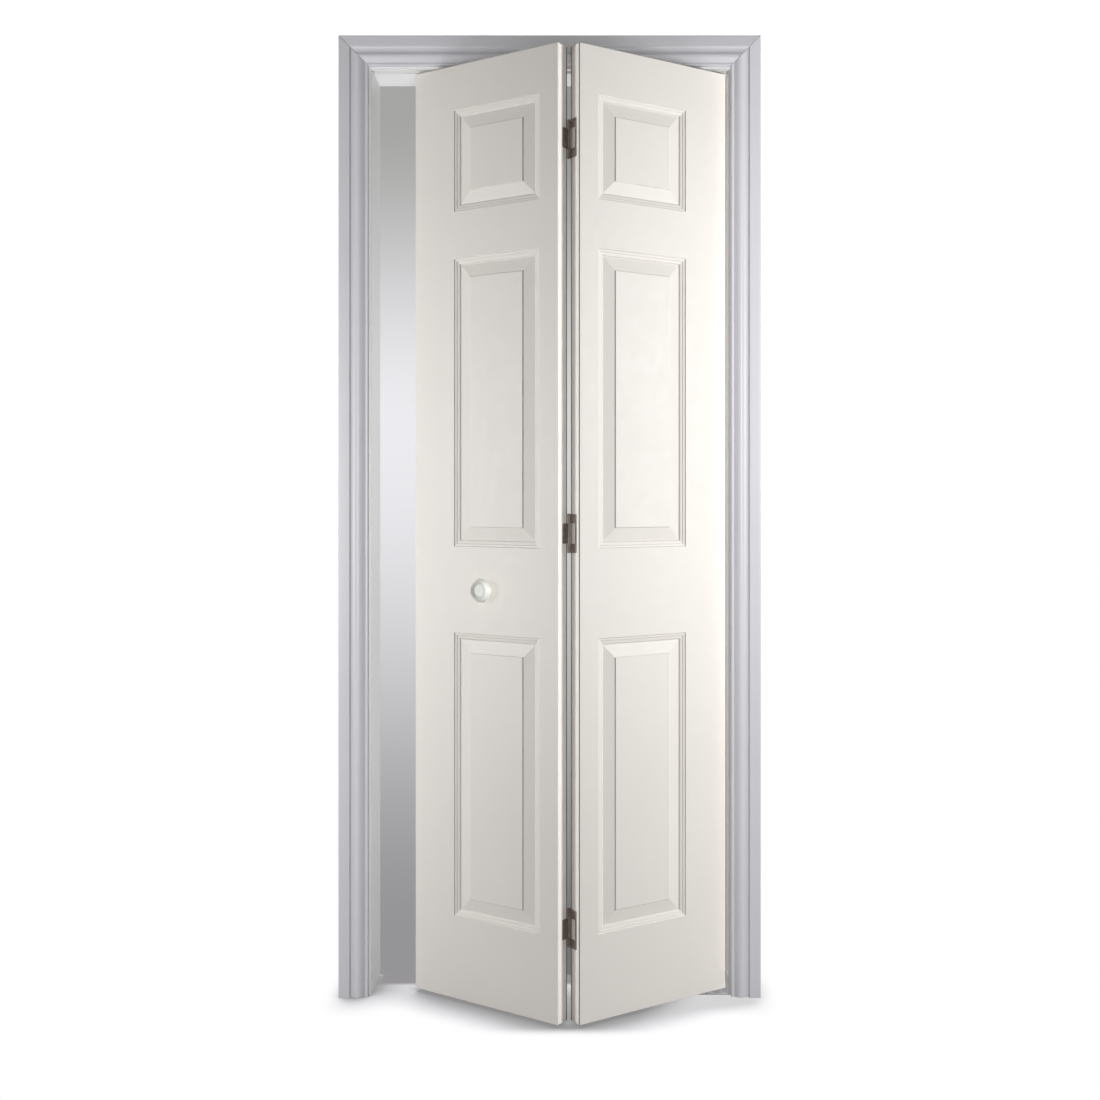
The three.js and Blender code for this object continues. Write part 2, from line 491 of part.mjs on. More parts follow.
part(guideLeaf, 'guide_leaf_front_skin', cut(gl.front, knobHole(2.5)), LEAF_PAINT);
part(guideLeaf, 'guide_leaf_back_skin', cut(gl.back, knobHole(2.5)), LEAF_PAINT);
part(guideLeaf, 'guide_leaf_guide_stile', cut(gl.low,
  turned([[0, ZT - 60], [8.3, ZT - 60], [8.3, ZT - 12.8], [10.8, ZT - 12.8], [10.8, ZT + 1], [0, ZT + 1]], GUIDE_PIN[0], GUIDE_PIN[1], 24)), EDGE_PAINT);
part(guideLeaf, 'guide_leaf_hinge_stile', cut(gl.high,
  ...hingeLevels.flatMap(([, z]) => [-1, 1].map((s) => aim(pilot(1.7, 17.5), [gx1, -FOLD_V + screwV, ZB + z + s * innerScrewZ], [-1, 0, 0])))), EDGE_PAINT);
part(guideLeaf, 'guide_leaf_top_rail', gl.topRail, EDGE_PAINT);
part(guideLeaf, 'guide_leaf_bottom_rail', gl.bottomRail, EDGE_PAINT);
part(guideLeaf, 'guide_leaf_core', cut(gl.core, knobHole(3.2)), BOARD);

part(guideLeaf, 'guide_housing', turned([[0, ZT - 58], [8, ZT - 58], [8, ZT - 12.5], [10.5, ZT - 12.5], [10.5, ZT + 0.1],
  [12, ZT + 0.1], [12, ZT + 1.1], [9, ZT + 1.1], [9, ZT - 11], [3.5, ZT - 11], [3.5, ZT - 14], [5.2, ZT - 14],
  [5.2, ZT - 56], [0, ZT - 56]], GUIDE_PIN[0], GUIDE_PIN[1], 28), NYLON);
part(guideLeaf, 'guide_spring', coil(4.0, 0.5, ZT - 55.2, ZT - 31, 5, GUIDE_PIN[0], GUIDE_PIN[1]), SPRING_STEEL);
part(guideLeaf, 'guide_pin', turned([[0, ZT - 30], [4.8, ZT - 30], [4.8, ZT - 14.3], [3.1, ZT - 14.3],
  [3.1, HEAD_Z - 0.5], [4.4, HEAD_Z - 0.5], [4.4, HEAD_Z + 0.7], [3.1, HEAD_Z + 0.7], [3.1, HEAD_Z + 9.3],
  [4.9, HEAD_Z + 9.3], [4.9, HEAD_Z + 10], [4.0, HEAD_Z + 10.9], [0, HEAD_Z + 10.9]], GUIDE_PIN[0], GUIDE_PIN[1], 24), ZINC);
part(guideLeaf, 'guide_roller', turned([[3.35, HEAD_Z + 1], [6.9, HEAD_Z + 1], [ROLLER_R, HEAD_Z + 2], [ROLLER_R, HEAD_Z + 8],
  [6.9, HEAD_Z + 9], [3.35, HEAD_Z + 9], [3.35, HEAD_Z + 1]], GUIDE_PIN[0], GUIDE_PIN[1], 32), NYLON);

// inner hinge leaves
for (const [name, z] of hingeLevels) {
  const zc = ZB + z;
  const x0 = gx1, x1 = gx1 + HINGE_PLATE_T;
  const v0 = -FOLD_V - 0.4, v1 = -3;
  const plate = [[v0 + 1.2, -INNER_HALF], [v1, -INNER_HALF], [v1, INNER_HALF], [v0 + 1.2, INNER_HALF], [v0, INNER_HALF - 1.2], [v0, -INNER_HALF + 1.2]];
  part(guideLeaf, `hinge_inner_leaf_${name}`, cut(
    join(prism('yz', plate.map(([v, h]) => [v, zc + h]), x0, x1), rod(KNUCKLE_R, zc - INNER_HALF, zc + INNER_HALF, 0, 0, 20)),
    rod(HINGE_PIN_R + 0.2, zc - INNER_HALF - 1, zc + INNER_HALF + 1, 0, 0, 16),
    ...[-1, 1].map((s) => aim(countersink(3.2, 1.4, 1.1), [x1, -FOLD_V + screwV, zc + s * innerScrewZ], [-1, 0, 0]))), BRONZE);
  for (const s of [-1, 1]) {
    part(guideLeaf, `inner_hinge_screw_${name}_${s < 0 ? 'lower' : 'upper'}`,
      aim(screw(3.1, 1.4, 17, 1.1), [x1 - 0.1, -FOLD_V + screwV, zc + s * innerScrewZ], [-1, 0, 0]), BRONZE);
  }
}

// knob on the front face, held by a machine screw from the back: a turned neck under a ten-sided faceted crown with a dished face
const knobNeck = [[0, 15], [17.3, 15], [17.3, 13.4], [14.5, 12.5], [10.6, 11.3], [8.7, 9.6], [7.9, 7.4], [8.5, 5],
  [10.4, 3.2], [11.9, 1.9], [12.1, 0.4], [2.2, 0.4], [2.2, 14], [0, 14]];
// radius, height and turn of each ring of facet corners, from under the girdle to the rim, and of the dish
const KNOB_RINGS = [[20.9, 13.4, 18], [26.0, 16.4, 0], [26.0, 17.8, 0], [21.6, 26.0, 18], [20.2, 27.2, 18]];
const DISH_RINGS = [[12.4, 23.4, 0], [19.4, 27.2, 18], [19.4, 28.4, 18]];
const faceted = (rings) => toGeometry(Manifold.hull(rings.flatMap(([r, h, turn]) => Array.from({ length: 10 }, (_, k) => {
  const a = THREE.MathUtils.degToRad(36 * k + turn);
  return [r * Math.cos(a), r * Math.sin(a), h];
}))));
const dimple = turned([[0, 22.6], [1.3, 23.4], [1.3, 24.4], [0, 24.4]], 0, 0, 12);
part(guideLeaf, 'knob', aim(cut(join(turned(knobNeck, 0, 0, 32), faceted(KNOB_RINGS)), faceted(DISH_RINGS), dimple),
  [knobX, faceY, knobZ], [0, -1, 0]), KNOB_PAINT);
part(guideLeaf, 'knob_screw', aim(turned([[0, 0.8], [2.2, 0.8], [2.2, 0], [3.6, 0], [4.6, 1.0], [4.6, 2.2], [1.9, 2.2],
  [1.9, LEAF_T + 14.5], [0, LEAF_T + 14.5]], 0, 0, 16), [knobX, rearY + 2.4, knobZ], [0, -1, 0]), ZINC);

export default group;
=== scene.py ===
import json
import math

import bmesh
import bpy
from mathutils import Matrix, Vector

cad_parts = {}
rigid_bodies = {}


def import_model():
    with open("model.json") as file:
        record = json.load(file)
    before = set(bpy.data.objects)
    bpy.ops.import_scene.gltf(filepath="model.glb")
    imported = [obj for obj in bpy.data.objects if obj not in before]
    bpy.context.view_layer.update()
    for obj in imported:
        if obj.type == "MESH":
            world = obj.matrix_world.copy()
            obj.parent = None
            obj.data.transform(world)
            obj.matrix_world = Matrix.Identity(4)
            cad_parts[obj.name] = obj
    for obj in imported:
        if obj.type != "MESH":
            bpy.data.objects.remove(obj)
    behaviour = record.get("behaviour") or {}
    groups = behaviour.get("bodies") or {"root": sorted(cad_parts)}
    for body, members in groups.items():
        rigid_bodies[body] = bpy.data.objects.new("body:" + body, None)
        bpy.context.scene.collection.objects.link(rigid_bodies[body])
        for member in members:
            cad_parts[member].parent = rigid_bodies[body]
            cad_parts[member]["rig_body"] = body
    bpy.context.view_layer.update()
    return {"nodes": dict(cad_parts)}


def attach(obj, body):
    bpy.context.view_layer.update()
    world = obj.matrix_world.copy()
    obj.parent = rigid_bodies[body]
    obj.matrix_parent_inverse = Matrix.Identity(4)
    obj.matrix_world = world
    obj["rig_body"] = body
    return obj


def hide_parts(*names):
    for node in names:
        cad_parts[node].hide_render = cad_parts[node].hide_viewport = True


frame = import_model()
NODES = frame["nodes"]

# ---------------------------------------------------------------- dimensions, as in the CAD
OPENING_W, HEAD_Z, JAMB_T, JAMB_D, HEAD_T = 774.7, 2009.5, 19.0, 116.0, 32.0
REVEAL, CASING_W, PIVOT_GAP = 5.0, 63.5, 9.15
LEAF_W, LEAF_H, LEAF_T, ZB, FOLD_GAP = 374.65, 1997.0, 35.0, 8.0, 3.0
PIN_INSET, PIVOT_Y, KNUCKLE_OFFSET = 28.6, 20.0, 4.5
THETA = math.radians(32.4)
PANEL_U = (107.0, 329.8)
PANEL_Z = ((176.0, 783.5), (967.0, 1584.0), (1684.0, 1901.5))
HINGE_Z = {"bottom": 188.5, "middle": 998.5, "top": 1808.5}
KNOB_U, KNOB_Z = 192.0, 877.0
HALF = OPENING_W / 2
PIVOT_X = HALF - PIVOT_GAP - PIN_INSET
EDGE_OUT, EDGE_IN = PIN_INSET, PIN_INSET - LEAF_W
FOLD_X, FOLD_V = EDGE_IN - FOLD_GAP / 2, LEAF_T / 2 + KNUCKLE_OFFSET
ZT = ZB + LEAF_H
C, S = math.cos(THETA), math.sin(THETA)
FOLD = (PIVOT_X + C * FOLD_X - S * FOLD_V, PIVOT_Y + S * FOLD_X + C * FOLD_V)
GX1 = -FOLD_GAP / 2
GX0 = GX1 - LEAF_W

M_PIVOT = Matrix.Translation((PIVOT_X, PIVOT_Y, 0)) @ Matrix.Rotation(THETA, 4, "Z")
M_GUIDE = Matrix.Translation((FOLD[0], FOLD[1], 0)) @ Matrix.Rotation(-THETA, 4, "Z")
MM = Matrix.Scale(0.001, 4)

# ---------------------------------------------------------------- node helpers


class Nodes:
    """A small shorthand for building shader nodes."""

    def __init__(self, name):
        self.mat = bpy.data.materials.new(name)
        self.mat.use_nodes = True
        self.tree = self.mat.node_tree
        self.tree.nodes.clear()
        self.out = self.tree.nodes.new("ShaderNodeOutputMaterial")
        self.bsdf = self.tree.nodes.new("ShaderNodeBsdfPrincipled")
        self.link(self.bsdf.outputs[0], self.out.inputs["Surface"])
        self.coord = self.tree.nodes.new("ShaderNodeTexCoord").outputs["Object"]

    def link(self, a, b):
        self.tree.links.new(a, b)

    def put(self, socket, value):
        s = self.bsdf.inputs[socket]
        if hasattr(value, "is_output"):
            self.link(value, s)
        else:
            s.default_value = value

    def stretch(self, scale, source=None, turn=(0, 0, 0)):
        n = self.tree.nodes.new("ShaderNodeMapping")
        n.inputs["Scale"].default_value = scale
        n.inputs["Rotation"].default_value = turn
        self.link(source or self.coord, n.inputs["Vector"])
        return n.outputs[0]

    def noise(self, scale, detail=4.0, rough=0.55, vector=None, distortion=0.0):
        n = self.tree.nodes.new("ShaderNodeTexNoise")
        n.inputs["Scale"].default_value = scale
        n.inputs["Detail"].default_value = detail
        n.inputs["Roughness"].default_value = rough
        n.inputs["Distortion"].default_value = distortion
        self.link(vector or self.coord, n.inputs["Vector"])
        return n.outputs["Fac"]

    def voronoi(self, scale, feature="F1", output="Distance", vector=None, random=1.0):
        n = self.tree.nodes.new("ShaderNodeTexVoronoi")
        n.feature = feature
        n.inputs["Scale"].default_value = scale
        n.inputs["Randomness"].default_value = random
        self.link(vector or self.coord, n.inputs["Vector"])
        return n.outputs[output]

    def ramp(self, fac, stops):
        n = self.tree.nodes.new("ShaderNodeValToRGB")
        e = n.color_ramp.elements
        while len(e) < len(stops):
            e.new(0.5)
        for i, (p, c) in enumerate(stops):
            e[i].position = p
            e[i].color = (*c, 1) if not isinstance(c, float) else (c, c, c, 1)
        self.link(fac, n.inputs["Fac"])
        return n.outputs["Color"]

    def span(self, fac, low, high, from_low=0.0, from_high=1.0):
        n = self.tree.nodes.new("ShaderNodeMapRange")
        n.inputs["From Min"].default_value = from_low
        n.inputs["From Max"].default_value = from_high
        n.inputs["To Min"].default_value = low
        n.inputs["To Max"].default_value = high
        self.link(fac, n.inputs["Value"])
        return n.outputs["Result"]

    def mix(self, fac, a, b, mode="MIX"):
        n = self.tree.nodes.new("ShaderNodeMix")
        n.data_type = "RGBA"
        n.blend_type = mode
        fac_in, a_in, b_in = n.inputs[0], n.inputs[6], n.inputs[7]
        for socket, value in ((fac_in, fac), (a_in, a), (b_in, b)):
            if hasattr(value, "is_output"):
                self.link(value, socket)
            elif socket is fac_in:
                socket.default_value = value
            else:
                socket.default_value = (*value, 1)
        return n.outputs[2]

    def math(self, op, a, b=0.0):
        n = self.tree.nodes.new("ShaderNodeMath")
        n.operation = op
        for socket, value in ((n.inputs[0], a), (n.inputs[1], b)):
            if hasattr(value, "is_output"):
                self.link(value, socket)
            else:
                socket.default_value = value
        return n.outputs[0]

    def bump(self, *layers):
        """layers of (height, strength, distance in metres), one on the other"""
        normal = None
        for height, strength, distance in layers:
            n = self.tree.nodes.new("ShaderNodeBump")
            n.inputs["Strength"].default_value = strength
            n.inputs["Distance"].default_value = distance
            self.link(height, n.inputs["Height"])
            if normal is not None:
                self.link(normal, n.inputs["Normal"])
            normal = n.outputs[0]
        self.link(normal, self.bsdf.inputs["Normal"])
        return normal


def tint(c, k):
    return tuple(max(0.0, min(1.0, v * k)) for v in c)


def paint(name, colour, rough, along=(1, 1, 1), stipple=0.10, brush=0.0, coat=0.0, spec=0.5):
    """Sprayed or rolled paint: faint mottling, an orange-peel surface and uneven gloss.
    along stretches the brush marks."""
    m = Nodes(name)
    cloud = m.noise(3.2, 5, 0.6)
    fine = m.noise(46, 3, 0.6)
    speck = m.noise(420, 2, 0.5)
    base = m.ramp(cloud, [(0.25, tint(colour, 0.972)), (0.75, tint(colour, 1.018))])
    base = m.mix(m.span(fine, 0.0, 0.10), base, tint(colour, 0.93))
    base = m.mix(m.span(speck, 0.0, 0.22, 0.60, 0.80), base, tint(colour, 0.88))
    m.put("Base Color", base)
    m.put("Roughness", m.span(m.math("ADD", m.math("MULTIPLY", cloud, 0.5), m.math("MULTIPLY", fine, 0.5)), rough - 0.05, rough + 0.07, 0.3, 0.7))
    m.bsdf.inputs["Specular IOR Level"].default_value = spec
    if coat:
        m.bsdf.inputs["Coat Weight"].default_value = coat
        m.bsdf.inputs["Coat Roughness"].default_value = 0.12
    peel = m.noise(330, 2, 0.45)
    wave = m.noise(38, 2, 0.5)
    layers = [(wave, 0.12, 0.0010), (peel, stipple, 0.00035)]
    if brush:
        layers.append((m.noise(520, 3, 0.6, vector=m.stretch(along)), brush, 0.00030))
    m.bump(*layers)
    return m.mat


def metal(name, colour, rough, worn, spangle=0.0, metallic=1.0, grain=(1, 1, 1), worn_amount=0.5):
    """Plated or lacquered steel with mottling, drawn grain and rubbed high spots."""
    m = Nodes(name)
    patch = m.noise(95, 4, 0.6)
    drawn = m.noise(900, 2, 0.5, vector=m.stretch(grain))
    base = m.ramp(patch, [(0.3, tint(colour, 0.72)), (0.7, tint(colour, 1.22))])
    if spangle:
        cells = m.voronoi(170, output="Color")
        grey = m.tree.nodes.new("ShaderNodeRGBToBW")
        m.link(cells, grey.inputs[0])
        base = m.mix(m.span(grey.outputs[0], 0.0, spangle), base, tint(colour, 1.35))
    rub = m.span(m.noise(260, 5, 0.7), 0.0, worn_amount, 0.52, 0.74)
    base = m.mix(rub, base, worn)
    m.put("Base Color", base)
    m.put("Metallic", metallic)
    m.put("Roughness", m.span(drawn, rough - 0.08, rough + 0.12, 0.25, 0.75))
    m.bump((drawn, 0.10, 0.0002), (m.noise(1500, 2, 0.5), 0.08, 0.00012))
    return m.mat


def nylon(name, colour, rough):
    m = Nodes(name)
    cloud = m.noise(60, 3, 0.5)
    m.put("Base Color", m.ramp(cloud, [(0.3, tint(colour, 0.95)), (0.7, tint(colour, 1.03))]))
    m.put("Roughness", m.span(m.noise(700, 2, 0.5), rough - 0.06, rough + 0.08))
    m.bsdf.inputs["Subsurface Weight"].default_value = 0.12
    m.bsdf.inputs["Subsurface Radius"].default_value = (0.002, 0.0018, 0.0014)
    m.bsdf.inputs["Subsurface Scale"].default_value = 1.0
    m.bump((m.noise(900, 2, 0.5), 0.12, 0.00015))
    return m.mat


def primed_edge(name, colour, rough):
    """Primer over softwood: the grain just telegraphs through."""
    m = Nodes(name)
    line = m.stretch((1.0, 1.0, 0.03))
    rings = m.noise(170, 4, 0.6, vector=line, distortion=0.8)
    cloud = m.noise(9, 4, 0.6)
    base = m.ramp(cloud, [(0.3, tint(colour, 0.965)), (0.7, tint(colour, 1.015))])
    base = m.mix(m.span(rings, 0.0, 0.14, 0.45, 0.75), base, tint(colour, 0.86))
    m.put("Base Color", base)
    m.put("Roughness", m.span(rings, rough - 0.04, rough + 0.08))
    m.bump((rings, 0.16, 0.00025), (m.noise(420, 2, 0.5), 0.12, 0.0003))
    return m.mat


def paperboard(name, colour):
    m = Nodes(name)
    fibre = m.noise(700, 4, 0.7, vector=m.stretch((1, 1, 0.25)))
    flute = m.noise(40, 3, 0.6)
    base = m.ramp(fibre, [(0.3, tint(colour, 0.75)), (0.7, tint(colour, 1.2))])
    m.put("Base Color", m.mix(m.span(flute, 0.0, 0.3), base, tint(colour, 0.8)))
    m.put("Roughness", m.span(fibre, 0.8, 0.97))
    m.bump((fibre, 0.35, 0.0003))
    return m.mat


LEAF_RGB = (0.858, 0.820, 0.765)
# painted shade: the trim's cool blue-grey tone, darker than the jamb paint, stands in for cool shade on the trim paint
TRIM_SHADED_RGB = (0.730, 0.730, 0.762)
JAMB_RGB = (0.800, 0.796, 0.800)
MAT = {
    "leaf_paint": paint("leaf_paint", LEAF_RGB, 0.46, stipple=0.13),
    "edge_paint": primed_edge("edge_paint", LEAF_RGB, 0.50),
    "trim_side": paint("trim_paint_side", TRIM_SHADED_RGB, 0.36, along=(1, 1, 0.03), brush=0.10, stipple=0.06),
    "trim_head": paint("trim_paint_head", TRIM_SHADED_RGB, 0.36, along=(0.03, 1, 1), brush=0.10, stipple=0.06),
    "jamb_side": paint("jamb_paint_side", JAMB_RGB, 0.40, along=(1, 1, 0.03), brush=0.14, stipple=0.06),
    "jamb_head": paint("jamb_paint_head", JAMB_RGB, 0.40, along=(0.03, 1, 1), brush=0.14, stipple=0.06),
    "knob": paint("knob_enamel", (0.725, 0.735, 0.675), 0.38, stipple=0.03, coat=0.12, spec=0.35),
    "bronze": metal("bronze_steel", (0.285, 0.235, 0.205), 0.42, (0.46, 0.42, 0.39), metallic=0.70, grain=(1, 1, 0.15)),
    "zinc": metal("zinc_steel", (0.58, 0.59, 0.60), 0.38, (0.72, 0.73, 0.74), spangle=0.35, metallic=0.8, grain=(0.2, 1, 1), worn_amount=0.25),
    "track": paint("track_enamel", (0.78, 0.78, 0.77), 0.30, along=(0.03, 1, 1), brush=0.04, stipple=0.03, coat=0.2),
    "nylon": nylon("white_nylon", (0.80, 0.79, 0.75), 0.42),
    "board": paperboard("brown_board", (0.42, 0.29, 0.17)),
    "raw_edge": paperboard("raw_board_edge", (0.12, 0.10, 0.09)),
    "spring": metal("spring_wire", (0.34, 0.35, 0.37), 0.32, (0.5, 0.5, 0.5), grain=(1, 1, 0.2), worn_amount=0.2),
}

# ---------------------------------------------------------------- mesh helpers


def sharpen(me, degrees=32, extra=None):
    """smooth shading with sharp edges where faces turn more than an angle, and on marked edges"""
    for p in me.polygons:
        p.use_smooth = True
    bm = bmesh.new()
    bm.from_mesh(me)
    bm.normal_update()
    limit = math.radians(degrees)
    layer = bm.edges.layers.int.get("crease_mark")
    for e in bm.edges:
        turn = e.calc_face_angle(math.pi)
        e.smooth = not (turn > limit or (layer is not None and e[layer]))
    bm.to_mesh(me)
    bm.free()


PIECES = {}


def new_piece(name, me, body, material, replaced, weighted=True):
    o = bpy.data.objects.new(name, me)
    bpy.context.scene.collection.objects.link(o)
    PIECES[name] = o
    if len(me.materials):
        me.materials.clear()
    me.materials.append(MAT[material])
    if weighted:
        w = o.modifiers.new("even_shading", "WEIGHTED_NORMAL")
        w.keep_sharp = True
        w.weight = 100
    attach(o, body)
    if replaced:
        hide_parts(*replaced)
    return o


def finish_bmesh(bm, matrix, sharp=32):
    bmesh.ops.recalc_face_normals(bm, faces=bm.faces)
    bmesh.ops.transform(bm, matrix=MM @ matrix, verts=bm.verts)
    me = bpy.data.meshes.new("piece")
    bm.to_mesh(me)
    bm.free()
    sharpen(me, sharp)
    return me


def smooth_profile(points, keep_sharp, steps):
    """Rounds a list of points with a Catmull-Rom curve between the points that stay sharp."""
    out = [points[0]]
    n = len(points)
    for i in range(n - 1):
        p1, p2 = points[i], points[i + 1]
        p0 = points[i - 1] if i > 0 and i not in keep_sharp else (2 * p1[0] - p2[0], 2 * p1[1] - p2[1])
        p3 = points[i + 2] if i + 2 < n and (i + 1) not in keep_sharp else (2 * p2[0] - p1[0], 2 * p2[1] - p1[1])
        k = 1 if (i in keep_sharp and i + 1 in keep_sharp) else steps
        for j in range(1, k + 1):
            t = j / k
            out.append(tuple(0.5 * (2 * p1[a] + (p2[a] - p0[a]) * t + (2 * p0[a] - 5 * p1[a] + 4 * p2[a] - p3[a]) * t * t
                                    + (3 * p1[a] - p0[a] - 3 * p2[a] + p3[a]) * t ** 3) for a in (0, 1)))
    return out


# ---------------------------------------------------------------- moulded leaf skins
# inset from the panel outline and depth below the face: two fillets, cove, groove, raised bevel, fillet, field
MOULDING = [(0, 0), (0.35, 0.12), (0.75, 0.62), (1.3, 1.32), (1.9, 1.72), (2.8, 1.95), (5.0, 2.15), (5.6, 2.32), (6.2, 2.78), (6.9, 3.32),
            (7.5, 3.56), (8.4, 3.72), (11.4, 4.25), (12.4, 4.58), (13.1, 5.15), (13.9, 5.92), (14.6, 6.36), (15.5, 6.6), (16.6, 6.4),
            (41.1, 2.2), (41.7, 1.92), (42.3, 1.1), (42.9, 0.38), (43.5, 0.07), (44.2, 0.0)]
MOULDING_SHARP = {0, 18, 19}
SKIN_T = 3.42
EDGE_R = 1.0


def skin_mesh(x0, x1, panels, face, into, matrix, raw=None):
    """One closed moulded skin: rounded outer edge, flat frame, and three raised panels with mitred mouldings.
    raw is the edge, x0 or x1, that is left as bare board."""
    bm = bmesh.new()
    mark = bm.edges.layers.int.new("crease_mark")
    px0, px1 = panels[0][0], panels[0][1]
    xs = [x0, px0, px1, x1]
    zs = [ZB] + [z for p in panels for z in (p[2], p[3])] + [ZT]
    levels = smooth_profile(MOULDING, MOULDING_SHARP, 3)

    def y_at(depth):
        return face + into * depth

    def outline(inset, depth):
        """grid points with the outer ring pulled in"""
        def cx(x):
            return x + inset if x == x0 else x - inset if x == x1 else x

        def cz(z):
            return z + inset if z == ZB else z - inset if z == ZT else z
        return cx, cz, y_at(depth)

    def add_grid(inset, depth, extra):
        cx, cz, y = outline(inset, depth)
        grid = {}
        for i, x in enumerate(xs):
            for k, z in enumerate(zs):
                grid[i, k] = bm.verts.new((cx(x), y + into * extra, cz(z)))
        return grid

    def cells(grid):
        for i in range(3):
            for k in range(len(zs) - 1):
                if i == 1 and k % 2 == 1:
                    continue
                bm.faces.new((grid[i, k], grid[i + 1, k], grid[i + 1, k + 1], grid[i, k + 1]))

    def panel(grid, k, prof, offset):
        x_lo, x_hi, z_lo, z_hi = xs[1], xs[2], zs[k], zs[k + 1]
        ring = [grid[1, k], grid[2, k], grid[2, k + 1], grid[1, k + 1]]
        for s, d in prof[1:]:
            y = y_at(d + offset)
            nxt = [bm.verts.new(p) for p in ((x_lo + s, y, z_lo + s), (x_hi - s, y, z_lo + s), (x_hi - s, y, z_hi - s), (x_lo + s, y, z_hi - s))]
            for i in range(4):
                j = (i + 1) % 4
                bm.faces.new((ring[i], ring[j], nxt[j], nxt[i]))
            for a, b in zip(ring, nxt):
                e = bm.edges.get((a, b))
                if e:
                    e[mark] = 1
            ring = nxt
        bm.faces.new(ring)

    front = add_grid(EDGE_R, 0.0, 0.0)
    cells(front)
    for k in range(1, len(zs) - 1, 2):
        panel(front, k, levels, 0.0)
    back = add_grid(0.0, SKIN_T, 0.0)
    cells(back)
    low = [(s, d) for s, d in MOULDING if s in (0, 2.8, 5.0, 7.5, 11.4, 13.9, 15.5, 41.1, 44.2)]
    for k in range(1, len(zs) - 1, 2):
        panel(back, k, low, SKIN_T)

    def rim(grid):
        n = len(zs) - 1
        return ([grid[i, 0] for i in range(0, 3)] + [grid[3, k] for k in range(0, n)]
                + [grid[i, n] for i in range(3, 0, -1)] + [grid[0, k] for k in range(n, 0, -1)])
    loops = [rim(front)]
    for a in (22.5, 45, 67.5, 90):
        t = math.radians(a)
        loops.append(rim(add_grid(EDGE_R * (1 - math.sin(t)), EDGE_R * (1 - math.cos(t)), 0.0)))
    loops.append(rim(back))
    for a, b in zip(loops, loops[1:]):
        for i in range(len(a)):
            j = (i + 1) % len(a)
            bm.faces.new((a[i], b[i], b[j], a[j]))
    loose = [v for v in bm.verts if not v.link_faces]
    bmesh.ops.delete(bm, geom=loose, context="VERTS")
    if raw is not None:
        for f in bm.faces:
            if all(abs(v.co.x - raw) < 0.45 for v in f.verts):
                f.material_index = 1
    return finish_bmesh(bm, matrix, 30)


def leaf_panels(a, sign):
    """panel rectangles in leaf coordinates, from the outer edge"""
    us = sorted((a + sign * PANEL_U[0], a + sign * PANEL_U[1]))
    return [(us[0], us[1], ZB + z0, ZB + z1) for z0, z1 in PANEL_Z]


pivot_panels = leaf_panels(EDGE_OUT, -1)
guide_panels = leaf_panels(GX0, 1)
SKINS = (("pivot_leaf", "front", EDGE_IN, EDGE_OUT, pivot_panels, -LEAF_T / 2, 1, M_PIVOT, EDGE_IN),
         ("pivot_leaf", "back", EDGE_IN, EDGE_OUT, pivot_panels, LEAF_T / 2, -1, M_PIVOT, EDGE_IN),
         ("guide_leaf", "front", GX0, GX1, guide_panels, -FOLD_V - LEAF_T / 2, 1, M_GUIDE, None),
         ("guide_leaf", "back", GX0, GX1, guide_panels, -FOLD_V + LEAF_T / 2, -1, M_GUIDE, GX1))
for leaf, side, xa, xb, panels, face, into, matrix, raw in SKINS:
    skin = new_piece(f"{leaf}_{side}", skin_mesh(xa, xb, panels, face, into, matrix, raw), leaf, "leaf_paint", [f"{leaf}_{side}_skin"])
    if raw is not None:
        skin.data.materials.append(MAT["raw_edge"])

# ---------------------------------------------------------------- casing
CASING = [(0, 0), (0, 15.2), (0.35, 15.95), (1.1, 16.45), (2.8, 16.62), (10, 16.7), (22.4, 16.6), (23.8, 16.2), (24.6, 15.2),
          (25.1, 13.8), (26.1, 12.8), (28, 12.2), (30.5, 12.0), (33, 12.2), (35.3, 12.8), (37.3, 13.7), (39.3, 14.8), (41.2, 15.5),
          (43.2, 15.7), (45.6, 15.4), (48.2, 14.5), (50.8, 13.1), (53.2, 11.4), (55.2, 9.9), (56.8, 9.1), (57.8, 8.95), (58.2, 9.45),
          (59.2, 9.9), (61.2, 9.9), (62.6, 9.4), (63.5, 8.4), (63.5, 0), (50.0, 0), (48.5, 1.2), (13.5, 1.2), (12.0, 0)]
casing_profile = smooth_profile(CASING, {0, 1, 25, 30, 31, 32, 33, 34, 35}, 3)
MITRE_BACK = 0.50      # each casing end stops this far from the mitre line, so that the joint reads as a fine dark line
OUT_X, OUT_Z = HALF + REVEAL + CASING_W, HEAD_Z + REVEAL + CASING_W


def casing_mesh(ends):
    """A moulded strip between two mitred or square ends, each giving a point for a section point."""
    bm = bmesh.new()
    rows = [[bm.verts.new(end(w, t)) for w, t in casing_profile] for end in ends]
    for a, b in zip(rows, rows[1:]):
        for i in range(len(a)):
            j = (i + 1) % len(a)
            bm.faces.new((a[i], a[j], b[j], b[i]))
    bm.faces.new(rows[0])
    bm.faces.new(rows[-1])
    return finish_bmesh(bm, Matrix.Identity(4), 28)


for name, s in (("left", -1), ("right", 1)):
    new_piece(f"casing_{name}_strip", casing_mesh([
        lambda w, t, s=s: (s * (OUT_X - w), -t, 0.0),
        lambda w, t, s=s: (s * (OUT_X - w), -t, OUT_Z - w - MITRE_BACK)]), "frame", "trim_side", [f"casing_{name}"])
new_piece("casing_head_strip", casing_mesh([
    lambda w, t: (-(OUT_X - w) + MITRE_BACK, -t, OUT_Z - w),
    lambda w, t: (OUT_X - w - MITRE_BACK, -t, OUT_Z - w)]), "frame", "trim_head", ["casing_head"])

# ---------------------------------------------------------------- refined copies of CAD nodes


